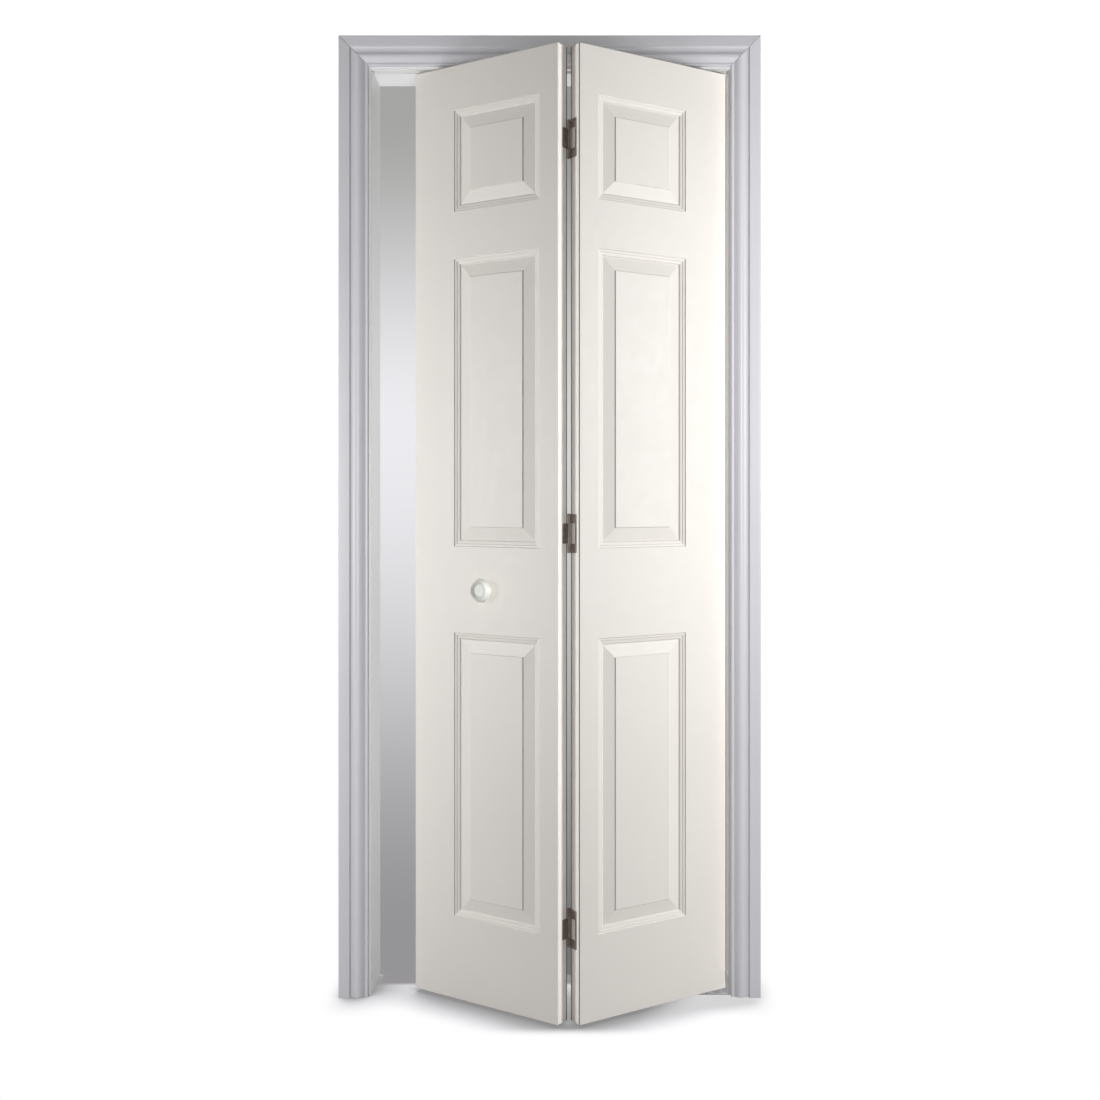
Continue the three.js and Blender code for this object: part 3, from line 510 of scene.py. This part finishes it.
def refined(node, material, bevel=0.4, segments=2, name=None, limit=35):
    """A copy of a CAD node with coplanar triangles merged and its edges eased."""
    src = NODES[node]
    me = src.data.copy()
    bm = bmesh.new()
    bm.from_mesh(me)
    bmesh.ops.remove_doubles(bm, verts=bm.verts, dist=2e-6)
    bmesh.ops.dissolve_limit(bm, angle_limit=math.radians(0.6), verts=bm.verts, edges=bm.edges)
    if bevel:
        edges = [e for e in bm.edges if e.is_manifold and e.calc_face_angle(0) > math.radians(limit)]
        bmesh.ops.bevel(bm, geom=edges, offset=bevel / 1000, offset_type="OFFSET", segments=segments, profile=0.5,
                        affect="EDGES", clamp_overlap=True, material=-1)
    bmesh.ops.remove_doubles(bm, verts=bm.verts, dist=1e-6)
    bm.to_mesh(me)
    bm.free()
    sharpen(me, 40 if bevel else 32)
    body = src["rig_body"]
    return new_piece(name or node + "_finish", me, body, material, [node])


for node, mat in (("jamb_left", "jamb_side"), ("jamb_right", "jamb_side"), ("head_jamb", "jamb_head")):
    refined(node, mat, bevel=0.7)
for leaf in ("pivot_leaf", "guide_leaf"):
    kinds = ("pivot_stile" if leaf == "pivot_leaf" else "guide_stile", "hinge_stile", "top_rail", "bottom_rail")
    for kind in kinds:
        refined(f"{leaf}_{kind}", "edge_paint", bevel=0.25, segments=1)
for level in HINGE_Z:
    refined(f"hinge_outer_leaf_{level}", "bronze", bevel=0.22)
    refined(f"hinge_inner_leaf_{level}", "bronze", bevel=0.22)
refined("top_track", "track", bevel=0.2)
for node in ("top_pivot_bracket", "bottom_jamb_bracket", "bottom_pivot_pin", "top_pivot_pin", "guide_pin",
             "track_screw_left", "track_screw_right", "top_bracket_screw"):
    refined(node, "zinc", bevel=0.2)
for node in ("top_pivot_housing", "bottom_pivot_housing", "guide_housing", "guide_roller"):
    refined(node, "nylon", bevel=0.25)

# ---------------------------------------------------------------- turned pieces


def lathe(profile, segments, matrix, sharp=32):
    """Revolves (radius, height) about the local Z axis; radius 0 points close the ends."""
    bm = bmesh.new()
    rings = []
    for r, h in profile:
        if r <= 1e-6:
            rings.append([bm.verts.new((0, 0, h))])
        else:
            rings.append([bm.verts.new((r * math.cos(2 * math.pi * i / segments), r * math.sin(2 * math.pi * i / segments), h)) for i in range(segments)])
    for a, b in zip(rings, rings[1:]):
        for i in range(segments):
            j = (i + 1) % segments
            if len(a) == 1 and len(b) == 1:
                continue
            if len(a) == 1:
                bm.faces.new((a[0], b[j], b[i]))
            elif len(b) == 1:
                bm.faces.new((a[i], a[j], b[0]))
            else:
                bm.faces.new((a[i], a[j], b[j], b[i]))
    return finish_bmesh(bm, matrix, sharp)


to_front = Matrix.Rotation(math.radians(90), 4, "X")
knob_at = M_GUIDE @ Matrix.Translation((GX0 + KNOB_U, -FOLD_V - LEAF_T / 2, ZB + KNOB_Z)) @ to_front
NECK = [(0, 13.3), (15.8, 13.3), (16.9, 13.1), (16.6, 12.85), (14.5, 12.5), (12.2, 11.95), (10.6, 11.3), (9.4, 10.5), (8.7, 9.6), (8.1, 8.5), (7.9, 7.4), (8.05, 6.2),
        (8.5, 5), (9.3, 4.0), (10.4, 3.2), (11.5, 2.5), (12.0, 1.7), (12.1, 0.5), (2.2, 0.5), (2.2, 12.6), (0, 12.6)]
neck_curve = smooth_profile(NECK, {0, 1, 17, 18, 19, 20}, 3)
new_piece("knob_neck", lathe(neck_curve, 64, knob_at, 40), "guide_leaf", "knob", ["knob"], weighted=False)
# radius, height and turn of each ring of facet corners, from under the girdle over the rim into the dish and its dimple
CROWN = ((20.9, 13.4, 18), (26.0, 16.4, 0), (26.0, 17.8, 0), (21.6, 26.0, 18), (20.2, 27.2, 18), (19.4, 27.2, 18), (12.4, 23.4, 0), (1.3, 23.4, 0), (0.4, 22.7, 0))


def crown_mesh():
    """The ten-sided faceted crown with its dished face, its facet edges softened by the glaze."""
    bm = bmesh.new()
    rings = []
    for r, h, turn in CROWN:
        angles = [math.radians(36 * k + turn) for k in range(10)]
        rings.append((turn, [bm.verts.new((r * math.cos(a), r * math.sin(a), h)) for a in angles]))
    for (ta, a), (tb, b) in zip(rings, rings[1:]):
        for k in range(10):
            n, p = (k + 1) % 10, (k - 1) % 10
            if ta == tb:
                bm.faces.new((a[k], a[n], b[n], b[k]))
            elif ta > tb:
                bm.faces.new((a[k], b[n], b[k]))
                bm.faces.new((a[k], a[n], b[n]))
            else:
                bm.faces.new((a[k], b[k], b[p]))
                bm.faces.new((a[k], a[n], b[k]))
    bm.faces.new(rings[0][1])
    bm.faces.new(rings[-1][1])
    bmesh.ops.bevel(bm, geom=[e for e in bm.edges if e.calc_face_angle(0) > math.radians(8)], offset=0.38, offset_type="OFFSET", segments=3, profile=0.5,
                    affect="EDGES", clamp_overlap=True, material=-1)
    return finish_bmesh(bm, knob_at, 24)


new_piece("knob_crown", crown_mesh(), "guide_leaf", "knob", ["knob"])

pin_r, hinge_half = 1.9, 39.5
for level, z in HINGE_Z.items():
    zc = ZB + z
    prof = [(0, -hinge_half - 1.4), (1.6, -hinge_half - 1.35), (2.5, -hinge_half - 1.15), (2.95, -hinge_half - 0.8), (3.0, -hinge_half - 0.3),
            (2.8, -hinge_half - 0.2), (pin_r, -hinge_half - 0.2), (pin_r, hinge_half + 0.2), (2.8, hinge_half + 0.2), (3.0, hinge_half + 0.3),
            (2.95, hinge_half + 0.8), (2.5, hinge_half + 1.15), (1.6, hinge_half + 1.35), (0, hinge_half + 1.4)]
    new_piece(f"hinge_pin_{level}_turned", lathe(prof, 28, M_PIVOT @ Matrix.Translation((FOLD_X, FOLD_V, zc)), 40),
              "pivot_leaf", "bronze", [f"hinge_pin_{level}"], weighted=False)


def screw_mesh(head_r, shank_r, length, depth, matrix, turn=0.0, pan=0.0):
    """A screw with a cross recess. The head's face is at z = 0, or stands out by pan; the point is towards +Z."""
    bm = bmesh.new()
    n = 24
    w, a = head_r * 0.13, head_r * 0.56
    cross = [(w, w), (a, w), (a, -w), (w, -w), (w, -a), (-w, -a), (-w, -w), (-a, -w), (-a, w), (-w, w), (-w, a), (w, a)]
    c, s = math.cos(turn), math.sin(turn)
    cross = [(c * x - s * y, s * x + c * y) for x, y in cross]
    top = -pan
    inner = [bm.verts.new((x, y, top)) for x, y in cross]
    deep = [bm.verts.new((x * 0.72, y * 0.72, top + depth * 0.62)) for x, y in cross]
    rim0 = [bm.verts.new((head_r * 0.86 * math.cos(2 * math.pi * i / n), head_r * 0.86 * math.sin(2 * math.pi * i / n), top)) for i in range(n)]
    k = len(inner)
    inner_edges = [bm.edges.new((inner[i], inner[(i + 1) % k])) for i in range(k)]
    rim_edges = [bm.edges.new((rim0[i], rim0[(i + 1) % n])) for i in range(n)]
    bmesh.ops.triangle_fill(bm, use_beauty=True, edges=inner_edges + rim_edges)
    for f in list(bm.faces):
        cx, cy = f.calc_center_median().xy
        u, v = c * cx + s * cy, -s * cx + c * cy
        if (abs(u) < w - 1e-6 and abs(v) < a - 1e-6) or (abs(v) < w - 1e-6 and abs(u) < a - 1e-6):
            bm.faces.remove(f)
    for i in range(k):
        j = (i + 1) % k
        bm.faces.new((inner[i], inner[j], deep[j], deep[i]))
    bm.faces.new(deep)
    rings = [rim0]
    for r, h in ((head_r, top + max(0.12, pan * 0.5)), (head_r, 0.0 if pan else 0.18), (shank_r, depth), (shank_r, length - 3.0), (shank_r * 0.3, length)):
        rings.append([bm.verts.new((r * math.cos(2 * math.pi * i / n), r * math.sin(2 * math.pi * i / n), h)) for i in range(n)])
    for p, q in zip(rings, rings[1:]):
        for i in range(n):
            j = (i + 1) % n
            bm.faces.new((p[i], p[j], q[j], q[i]))
    bm.faces.new(rings[-1])
    return finish_bmesh(bm, matrix, 34)


along_plus_x = Matrix.Rotation(math.radians(90), 4, "Y")
along_minus_x = Matrix.Rotation(math.radians(-90), 4, "Y")
for i, (level, z) in enumerate(HINGE_Z.items()):
    for s, side in ((-1, "lower"), (1, "upper")):
        place = M_PIVOT @ Matrix.Translation((EDGE_IN - 1.1, 8.5, ZB + z + s * 30.2)) @ along_plus_x
        new_piece(f"outer_screw_{level}_{side}", screw_mesh(3.1, 1.4, 16.8, 1.1, place, 0.5 + 1.3 * i + s), "pivot_leaf", "bronze",
                  [f"outer_hinge_screw_{level}_{side}"], weighted=False)
        place = M_GUIDE @ Matrix.Translation((GX1 + 1.1, -FOLD_V + 8.5, ZB + z + s * 11.5)) @ along_minus_x
        new_piece(f"inner_screw_{level}_{side}", screw_mesh(3.1, 1.4, 16.8, 1.1, place, 0.9 + 1.7 * i - s), "guide_leaf", "bronze",
                  [f"inner_hinge_screw_{level}_{side}"], weighted=False)
for y, side in ((PIVOT_Y - 11, "front"), (PIVOT_Y + 11, "back")):
    place = Matrix.Translation((HALF - 1.7, y, 28.0)) @ along_plus_x
    new_piece(f"bracket_screw_{side}", screw_mesh(3.4, 1.5, 16.5, 1.6, place, 0.7 + y), "frame", "zinc", [f"bottom_bracket_screw_{side}"], weighted=False)
place = M_GUIDE @ Matrix.Translation((GX0 + KNOB_U, -FOLD_V + LEAF_T / 2 + 0.15, ZB + KNOB_Z)) @ to_front
new_piece("knob_screw_turned", screw_mesh(4.6, 1.9, LEAF_T + 12.0, 0.3, place, 0.4, pan=2.1), "guide_leaf", "zinc", ["knob_screw"], weighted=False)

# ---------------------------------------------------------------- CAD nodes kept as they are
for node, mat in (("pivot_leaf_core", "board"), ("guide_leaf_core", "board"), ("top_pivot_spring", "spring"), ("guide_spring", "spring")):
    o = NODES[node]
    o.data.materials.clear()
    o.data.materials.append(MAT[mat])
for node, o in NODES.items():
    if not o.hide_render and not any(m and m.name in {v.name for v in MAT.values()} for m in o.data.materials):
        raise RuntimeError(f"{node} has no finish")

# ---------------------------------------------------------------- stage, light and camera


def stage_mesh(name, corners, material):
    """A flat stage piece: it isn't part of the door."""
    me = bpy.data.meshes.new(name)
    me.from_pydata(corners, [], [tuple(range(len(corners)))])
    o = bpy.data.objects.new(name, me)
    bpy.context.scene.collection.objects.link(o)
    me.materials.append(material)
    return o


def floor_material():
    """White studio floor for the camera, with painted shadow: a soft painted contact shadow from ambient occlusion
    where something stands close above it, a painted shadow strip between the jambs at the back of the doorway, painted
    shade in the corner behind the fold, the painted shade lightened towards the right, and plain white outside the
    frame and in front of the door. Other rays see a plain mid-grey floor.
    """
    m = bpy.data.materials.new("floor")
    m.use_nodes = True
    t = m.node_tree
    t.nodes.clear()
    out = t.nodes.new("ShaderNodeOutputMaterial")
    mix = t.nodes.new("ShaderNodeMixShader")
    path = t.nodes.new("ShaderNodeLightPath")
    bounce = t.nodes.new("ShaderNodeBsdfDiffuse")
    bounce.inputs["Color"].default_value = (0.34, 0.34, 0.35, 1)
    # painted contact shadow: ambient occlusion darkens the floor's glow through the ramp where something stands close
    # above it
    near = t.nodes.new("ShaderNodeAmbientOcclusion")
    near.inputs["Distance"].default_value = 0.115
    near.samples = 24
    ramp = t.nodes.new("ShaderNodeValToRGB")
    e = ramp.color_ramp.elements
    e[0].position, e[0].color = 0.10, (0.26, 0.26, 0.265, 1)
    e[1].position, e[1].color = 0.97, (1.0, 1.0, 1.0, 1)
    for p, c in ((0.50, 0.325), (0.62, 0.46), (0.86, 0.83)):
        mid = e.new(p)
        mid.color = (c, c, c * 1.02, 1)
    glow = t.nodes.new("ShaderNodeEmission")
    where = t.nodes.new("ShaderNodeTexCoord")
    axes = t.nodes.new("ShaderNodeSeparateXYZ")
    # painted shadow strip: deep, inside and sill pick out the floor between the jambs at the back of the doorway, which
    # back mixes towards a dark grey
    deep = t.nodes.new("ShaderNodeMapRange")
    deep.interpolation_type = "SMOOTHSTEP"
    deep.inputs["From Min"].default_value = 0.052
    deep.inputs["From Max"].default_value = 0.074
    beside = t.nodes.new("ShaderNodeMath")
    beside.operation = "ABSOLUTE"
    inside = t.nodes.new("ShaderNodeMapRange")
    inside.interpolation_type = "SMOOTHSTEP"
    inside.inputs["From Min"].default_value = 0.375
    inside.inputs["From Max"].default_value = 0.392
    inside.inputs["To Min"].default_value = 1.0
    inside.inputs["To Max"].default_value = 0.0
    both = t.nodes.new("ShaderNodeMath")
    both.operation = "MULTIPLY"
    sill = t.nodes.new("ShaderNodeMapRange")
    sill.interpolation_type = "SMOOTHSTEP"
    sill.inputs["From Min"].default_value = 0.116
    sill.inputs["From Max"].default_value = 0.150
    sill.inputs["To Min"].default_value = 1.0
    sill.inputs["To Max"].default_value = 0.0
    near_sill = t.nodes.new("ShaderNodeMath")
    near_sill.operation = "MULTIPLY"
    back = t.nodes.new("ShaderNodeMix")
    back.data_type = "RGBA"
    back.inputs[7].default_value = (0.31, 0.30, 0.31, 1)
    # painted shade: a second, wider ambient occlusion picks out the corner behind the fold, which is darkened to a grey
    corner = t.nodes.new("ShaderNodeAmbientOcclusion")
    corner.inputs["Distance"].default_value = 1.1
    corner.samples = 16
    nook = t.nodes.new("ShaderNodeMapRange")
    nook.interpolation_type = "SMOOTHSTEP"
    nook.inputs["From Min"].default_value = 0.425
    nook.inputs["From Max"].default_value = 0.49
    nook.inputs["To Min"].default_value = 1.0
    nook.inputs["To Max"].default_value = 0.0
    shifted = t.nodes.new("ShaderNodeMath")
    shifted.operation = "SUBTRACT"
    shifted.inputs[1].default_value = 0.045
    off = t.nodes.new("ShaderNodeMath")
    off.operation = "ABSOLUTE"
    window = t.nodes.new("ShaderNodeMapRange")
    window.interpolation_type = "SMOOTHSTEP"
    window.inputs["From Min"].default_value = 0.10
    window.inputs["From Max"].default_value = 0.16
    window.inputs["To Min"].default_value = 1.0
    window.inputs["To Max"].default_value = 0.0
    in_nook = t.nodes.new("ShaderNodeMath")
    in_nook.operation = "MULTIPLY"
    painted_nook_shade = t.nodes.new("ShaderNodeMix")
    painted_nook_shade.data_type = "RGBA"
    painted_nook_shade.blend_type = "DARKEN"
    painted_nook_shade.inputs[7].default_value = (0.34, 0.345, 0.335, 1)
    # the painted shade is lightened towards the right, to at least a light grey
    right = t.nodes.new("ShaderNodeMapRange")
    right.interpolation_type = "SMOOTHSTEP"
    right.inputs["From Min"].default_value = 0.18
    right.inputs["From Max"].default_value = 0.33
    lift = t.nodes.new("ShaderNodeMix")
    lift.data_type = "RGBA"
    lift.blend_type = "LIGHTEN"
    lift.inputs[7].default_value = (0.66, 0.66, 0.665, 1)
    # the painted shadow is cleared to plain white outside the frame and in front of the door
    outside = t.nodes.new("ShaderNodeMapRange")
    outside.interpolation_type = "SMOOTHSTEP"
    outside.inputs["From Min"].default_value = 0.425
    outside.inputs["From Max"].default_value = 0.50
    front = t.nodes.new("ShaderNodeMapRange")
    front.interpolation_type = "SMOOTHSTEP"
    front.inputs["From Min"].default_value = -0.172
    front.inputs["From Max"].default_value = -0.218
    most = t.nodes.new("ShaderNodeMath")
    most.operation = "MAXIMUM"
    clean = t.nodes.new("ShaderNodeMix")
    clean.data_type = "RGBA"
    clean.inputs[7].default_value = (1.0, 1.0, 1.0, 1)
    t.links.new(near.outputs["AO"], ramp.inputs["Fac"])
    t.links.new(where.outputs["Object"], axes.inputs[0])
    t.links.new(axes.outputs["Y"], deep.inputs["Value"])
    t.links.new(axes.outputs["X"], beside.inputs[0])
    t.links.new(beside.outputs[0], inside.inputs["Value"])
    t.links.new(deep.outputs["Result"], both.inputs[0])
    t.links.new(inside.outputs["Result"], both.inputs[1])
    t.links.new(axes.outputs["Y"], sill.inputs["Value"])
    t.links.new(both.outputs[0], near_sill.inputs[0])
    t.links.new(sill.outputs["Result"], near_sill.inputs[1])
    t.links.new(near_sill.outputs[0], back.inputs[0])
    t.links.new(ramp.outputs["Color"], back.inputs[6])
    t.links.new(axes.outputs["X"], right.inputs["Value"])
    t.links.new(right.outputs["Result"], lift.inputs[0])
    t.links.new(corner.outputs["AO"], nook.inputs["Value"])
    t.links.new(axes.outputs["X"], shifted.inputs[0])
    t.links.new(shifted.outputs[0], off.inputs[0])
    t.links.new(off.outputs[0], window.inputs["Value"])
    t.links.new(nook.outputs["Result"], in_nook.inputs[0])
    t.links.new(window.outputs["Result"], in_nook.inputs[1])
    t.links.new(in_nook.outputs[0], painted_nook_shade.inputs[0])
    t.links.new(back.outputs[2], painted_nook_shade.inputs[6])
    t.links.new(painted_nook_shade.outputs[2], lift.inputs[6])
    t.links.new(beside.outputs[0], outside.inputs["Value"])
    t.links.new(axes.outputs["Y"], front.inputs["Value"])
    t.links.new(outside.outputs["Result"], most.inputs[0])
    t.links.new(front.outputs["Result"], most.inputs[1])
    t.links.new(most.outputs[0], clean.inputs[0])
    t.links.new(lift.outputs[2], clean.inputs[6])
    t.links.new(clean.outputs[2], glow.inputs["Color"])
    # the camera sees the glowing floor with its painted shadow; all other rays see a plain mid-grey floor
    t.links.new(path.outputs["Is Camera Ray"], mix.inputs["Fac"])
    t.links.new(bounce.outputs[0], mix.inputs[1])
    t.links.new(glow.outputs[0], mix.inputs[2])
    t.links.new(mix.outputs[0], out.inputs["Surface"])
    return m


def backdrop_material():
    """A grey-white sheet behind the doorway that glows with painted light and shade: brightest at about two thirds of
    its height, painted darker towards the floor and the top, and dimmer from the middle rightwards where the fold gap
    shows it; it is seen from the room only.
    """
    m = bpy.data.materials.new("backdrop")
    m.use_nodes = True
    t = m.node_tree
    t.nodes.clear()
    out = t.nodes.new("ShaderNodeOutputMaterial")
    mix = t.nodes.new("ShaderNodeMixShader")
    geo = t.nodes.new("ShaderNodeNewGeometry")
    coord = t.nodes.new("ShaderNodeTexCoord")
    axes = t.nodes.new("ShaderNodeSeparateXYZ")
    # painted light and shade from floor to top: dark at the floor, brightest at about two thirds of the height, darker
    # again at the top
    height = t.nodes.new("ShaderNodeMapRange")
    height.inputs["From Max"].default_value = 2.0
    ramp = t.nodes.new("ShaderNodeValToRGB")
    e = ramp.color_ramp.elements
    ramp.color_ramp.interpolation = "EASE"
    e[0].position, e[0].color = 0.04, (0.30, 0.30, 0.31, 1)
    e[1].position, e[1].color = 0.98, (0.38, 0.38, 0.37, 1)
    top = e.new(0.62)
    top.color = (0.84, 0.84, 0.87, 1)
    clear = t.nodes.new("ShaderNodeBsdfTransparent")
    wall = t.nodes.new("ShaderNodeEmission")
    t.links.new(coord.outputs["Object"], axes.inputs[0])
    t.links.new(axes.outputs["Z"], height.inputs["Value"])
    t.links.new(height.outputs["Result"], ramp.inputs["Fac"])
    # painted shade: the glow is dimmed from the middle rightwards, most near the floor
    fold_painted_shade = t.nodes.new("ShaderNodeMapRange")
    fold_painted_shade.interpolation_type = "SMOOTHSTEP"
    fold_painted_shade.inputs["From Min"].default_value = -0.24
    fold_painted_shade.inputs["From Max"].default_value = -0.02
    fold_painted_shade.inputs["To Min"].default_value = 1.0
    low = t.nodes.new("ShaderNodeMapRange")
    low.interpolation_type = "SMOOTHSTEP"
    low.inputs["From Min"].default_value = 0.08
    low.inputs["From Max"].default_value = 0.34
    low.inputs["To Min"].default_value = 0.60
    low.inputs["To Max"].default_value = 0.80
    t.links.new(axes.outputs["Z"], low.inputs["Value"])
    t.links.new(low.outputs["Result"], fold_painted_shade.inputs["To Max"])
    t.links.new(axes.outputs["X"], fold_painted_shade.inputs["Value"])
    t.links.new(ramp.outputs["Color"], wall.inputs["Color"])
    t.links.new(fold_painted_shade.outputs["Result"], wall.inputs["Strength"])
    t.links.new(geo.outputs["Backfacing"], mix.inputs["Fac"])
    t.links.new(wall.outputs[0], mix.inputs[1])
    t.links.new(clear.outputs[0], mix.inputs[2])
    t.links.new(mix.outputs[0], out.inputs["Surface"])
    return m


ring = [(40 * math.cos(2 * math.pi * i / 64), 40 * math.sin(2 * math.pi * i / 64), -0.0004) for i in range(64)]
stage_mesh("floor", ring, floor_material())
backdrop = stage_mesh("backdrop", [(-0.40, 0.118, 0.0), (0.40, 0.118, 0.0), (0.40, 0.118, 2.02), (-0.40, 0.118, 2.02)], backdrop_material())
backdrop.visible_shadow = False
backdrop.visible_diffuse = False

world = bpy.data.worlds.new("studio")
bpy.context.scene.world = world
world.use_nodes = True
wt = world.node_tree
wt.nodes.clear()
w_out = wt.nodes.new("ShaderNodeOutputWorld")
w_mix = wt.nodes.new("ShaderNodeMixShader")
w_path = wt.nodes.new("ShaderNodeLightPath")
w_fill = wt.nodes.new("ShaderNodeBackground")
w_fill.inputs["Color"].default_value = (0.97, 0.98, 1.0, 1)
w_fill.inputs["Strength"].default_value = 0.14
w_seen = wt.nodes.new("ShaderNodeBackground")
w_seen.inputs["Color"].default_value = (1, 1, 1, 1)
w_seen.inputs["Strength"].default_value = 1.05
wt.links.new(w_path.outputs["Is Camera Ray"], w_mix.inputs["Fac"])
wt.links.new(w_fill.outputs[0], w_mix.inputs[1])
wt.links.new(w_seen.outputs[0], w_mix.inputs[2])
wt.links.new(w_mix.outputs[0], w_out.inputs["Surface"])


def softbox(name, place, target, width, height, power, colour=(1, 1, 1)):
    light = bpy.data.lights.new(name, "AREA")
    light.shape = "RECTANGLE"
    light.size, light.size_y = width, height
    light.energy = power
    light.color = colour
    o = bpy.data.objects.new(name, light)
    o.location = place
    o.rotation_euler = (Vector(target) - Vector(place)).to_track_quat("-Z", "Y").to_euler()
    o.visible_camera = False
    bpy.context.scene.collection.objects.link(o)
    return o


def linked(light, receivers=None, not_receivers=None, not_blockers=None):
    """Limits what a light falls on, and what casts its shadow."""
    def group(name, pieces, state):
        c = bpy.data.collections.new(name)
        for piece in pieces:
            c.objects.link(piece)
        for item in c.collection_objects:
            item.light_linking.link_state = state
        return c
    if receivers:
        light.light_linking.receiver_collection = group(light.name + "_lit", receivers, "INCLUDE")
    if not_receivers:
        light.light_linking.receiver_collection = group(light.name + "_unlit", not_receivers, "EXCLUDE")
    if not_blockers:
        light.light_linking.blocker_collection = group(light.name + "_passes", not_blockers, "EXCLUDE")


LEFT_CASING, RIGHT_CASING, HEAD_CASING = [PIECES["casing_left_strip"]], [PIECES["casing_right_strip"]], [PIECES["casing_head_strip"]]
LEFT_JAMB, RIGHT_JAMB = [PIECES["jamb_left_finish"]], [PIECES["jamb_right_finish"]]
HEAD_TRIM = HEAD_CASING + [PIECES[n] for n in ("head_jamb_finish", "top_track_finish")]
TRIM = LEFT_CASING + LEFT_JAMB + RIGHT_CASING + RIGHT_JAMB + HEAD_TRIM
KNOB = [PIECES[n] for n in ("knob_neck", "knob_crown")]
HINGES = [o for n, o in PIECES.items() if n.startswith(("hinge_", "outer_screw_", "inner_screw_"))]
SKIN_PIECES = [PIECES[f"{leaf}_{side}"] for leaf in ("pivot_leaf", "guide_leaf") for side in ("front", "back")]
UNDER_HEAD = [PIECES[n] for n in ("head_jamb_finish", "top_track_finish")]
FOOT = [PIECES[n] for n in ("bottom_jamb_bracket_finish", "bracket_screw_front", "bracket_screw_back", "bottom_pivot_pin_finish")]
FOOT_COVER = SKIN_PIECES + [PIECES[n] for n in ("pivot_leaf_bottom_rail_finish", "pivot_leaf_pivot_stile_finish", "bottom_pivot_housing_finish")]
linked(softbox("right_key", (2.46, -1.00, 1.36), (0.22, -0.04, 1.22), 0.5, 1.9, 62), not_receivers=TRIM + KNOB, not_blockers=TRIM + FOOT)
linked(softbox("left_key", (-2.30, -1.00, 1.10), (-0.12, -0.04, 1.10), 0.45, 1.4, 29.5), not_receivers=TRIM, not_blockers=TRIM + KNOB)
linked(softbox("left_soft_key", (-2.15, -1.24, 1.10), (-0.12, -0.04, 1.10), 1.1, 1.4, 11), not_receivers=TRIM, not_blockers=TRIM)
linked(softbox("knob_key", (2.0, -1.16, 1.15), (-0.17, -0.10, 0.885), 0.5, 0.7, 96), receivers=KNOB, not_blockers=TRIM + SKIN_PIECES)
linked(softbox("right_trim_key", (1.40, -2.0, 1.42), (0.42, 0, 1.35), 0.5, 1.0, 44), receivers=RIGHT_CASING)
linked(softbox("left_trim_key", (-1.35, -2.0, 1.08), (-0.42, 0, 1.08), 0.5, 1.0, 33.5), receivers=LEFT_CASING)
linked(softbox("right_jamb_key", (0.80, -2.3, 1.42), (0.42, 0, 1.35), 0.5, 1.0, 12), receivers=RIGHT_JAMB, not_blockers=RIGHT_CASING)
linked(softbox("left_jamb_key", (-0.75, -2.3, 1.08), (-0.42, 0, 1.08), 0.5, 1.0, 27), receivers=LEFT_JAMB, not_blockers=LEFT_CASING)
linked(softbox("right_head_key", (0.9, -0.9, 1.35), (0.35, 0, 2.04), 0.6, 0.6, 9), receivers=HEAD_CASING)
linked(softbox("left_head_key", (-0.9, -0.9, 1.35), (-0.35, 0, 2.04), 0.6, 0.6, 6.3), receivers=HEAD_CASING)
linked(softbox("head_fill", (0.05, -1.6, 2.35), (0.05, 0, 2.04), 0.5, 0.2, 2.2), receivers=HEAD_CASING)
linked(softbox("under_head_left", (-0.35, -2.2, 0.9), (-0.3, 0.05, 2.0), 0.3, 0.3, 23), receivers=UNDER_HEAD)
linked(softbox("under_head_right", (0.45, -2.2, 0.9), (0.4, 0.05, 2.0), 0.3, 0.3, 19), receivers=UNDER_HEAD)
linked(softbox("closet_light", (0.15, 0.95, 1.08), (-0.35, 0.05, 1.05), 0.6, 2.1, 7.4), receivers=LEFT_JAMB + UNDER_HEAD)
linked(softbox("closet_low_light", (0.15, 0.55, 0.30), (-0.38, 0.05, 0.12), 0.3, 0.4, 0.75), receivers=LEFT_JAMB)
linked(softbox("foot_fill", (0.30, -0.9, 0.8), (0.33, 0.02, 0.02), 0.4, 0.3, 9), receivers=FOOT, not_blockers=FOOT_COVER)
linked(softbox("pivot_edge_fill", (0.05, -1.5, 1.05), (0.05, -0.15, 1.05), 0.35, 1.7, 4), receivers=[PIECES["pivot_leaf_hinge_stile_finish"]])
linked(softbox("guide_edge_fill", (0.05, -1.5, 1.05), (0.05, -0.15, 1.05), 0.35, 1.7, 9), receivers=[PIECES["guide_leaf_hinge_stile_finish"]])
linked(softbox("hinge_fill", (0.05, -1.5, 1.05), (0.05, -0.15, 1.05), 0.35, 1.7, 8.5), receivers=HINGES)
linked(softbox("back_fill", (0.0, 2.6, 1.3), (0, 0, 1.0), 2.0, 1.8, 32), not_receivers=RIGHT_JAMB)
linked(softbox("back_jamb_fill", (1.8, 2.2, 1.3), (0.4, 0.1, 1.0), 1.2, 1.6, 14), receivers=RIGHT_JAMB)
linked(softbox("top_fill", (0.0, 0.5, 3.4), (0, 0.5, 0), 1.5, 1.2, 12), not_receivers=SKIN_PIECES)

cam = bpy.data.cameras.new("camera")
cam.sensor_width = 36
cam.lens = 42.04
cam.shift_x = -0.03984
cam.shift_y = -0.04875
cam.clip_start, cam.clip_end = 0.05, 200
cam_o = bpy.data.objects.new("camera", cam)
cam_o.location = (0.09549, -2.78874, 1.08250)
cam_o.rotation_euler = (math.radians(90), 0, 0)
bpy.context.scene.collection.objects.link(cam_o)
bpy.context.scene.camera = cam_o

scene = bpy.context.scene
scene.view_settings.view_transform = "Standard"
scene.view_settings.look = "None"
scene.view_settings.exposure = 0.0
scene.view_settings.gamma = 1.0
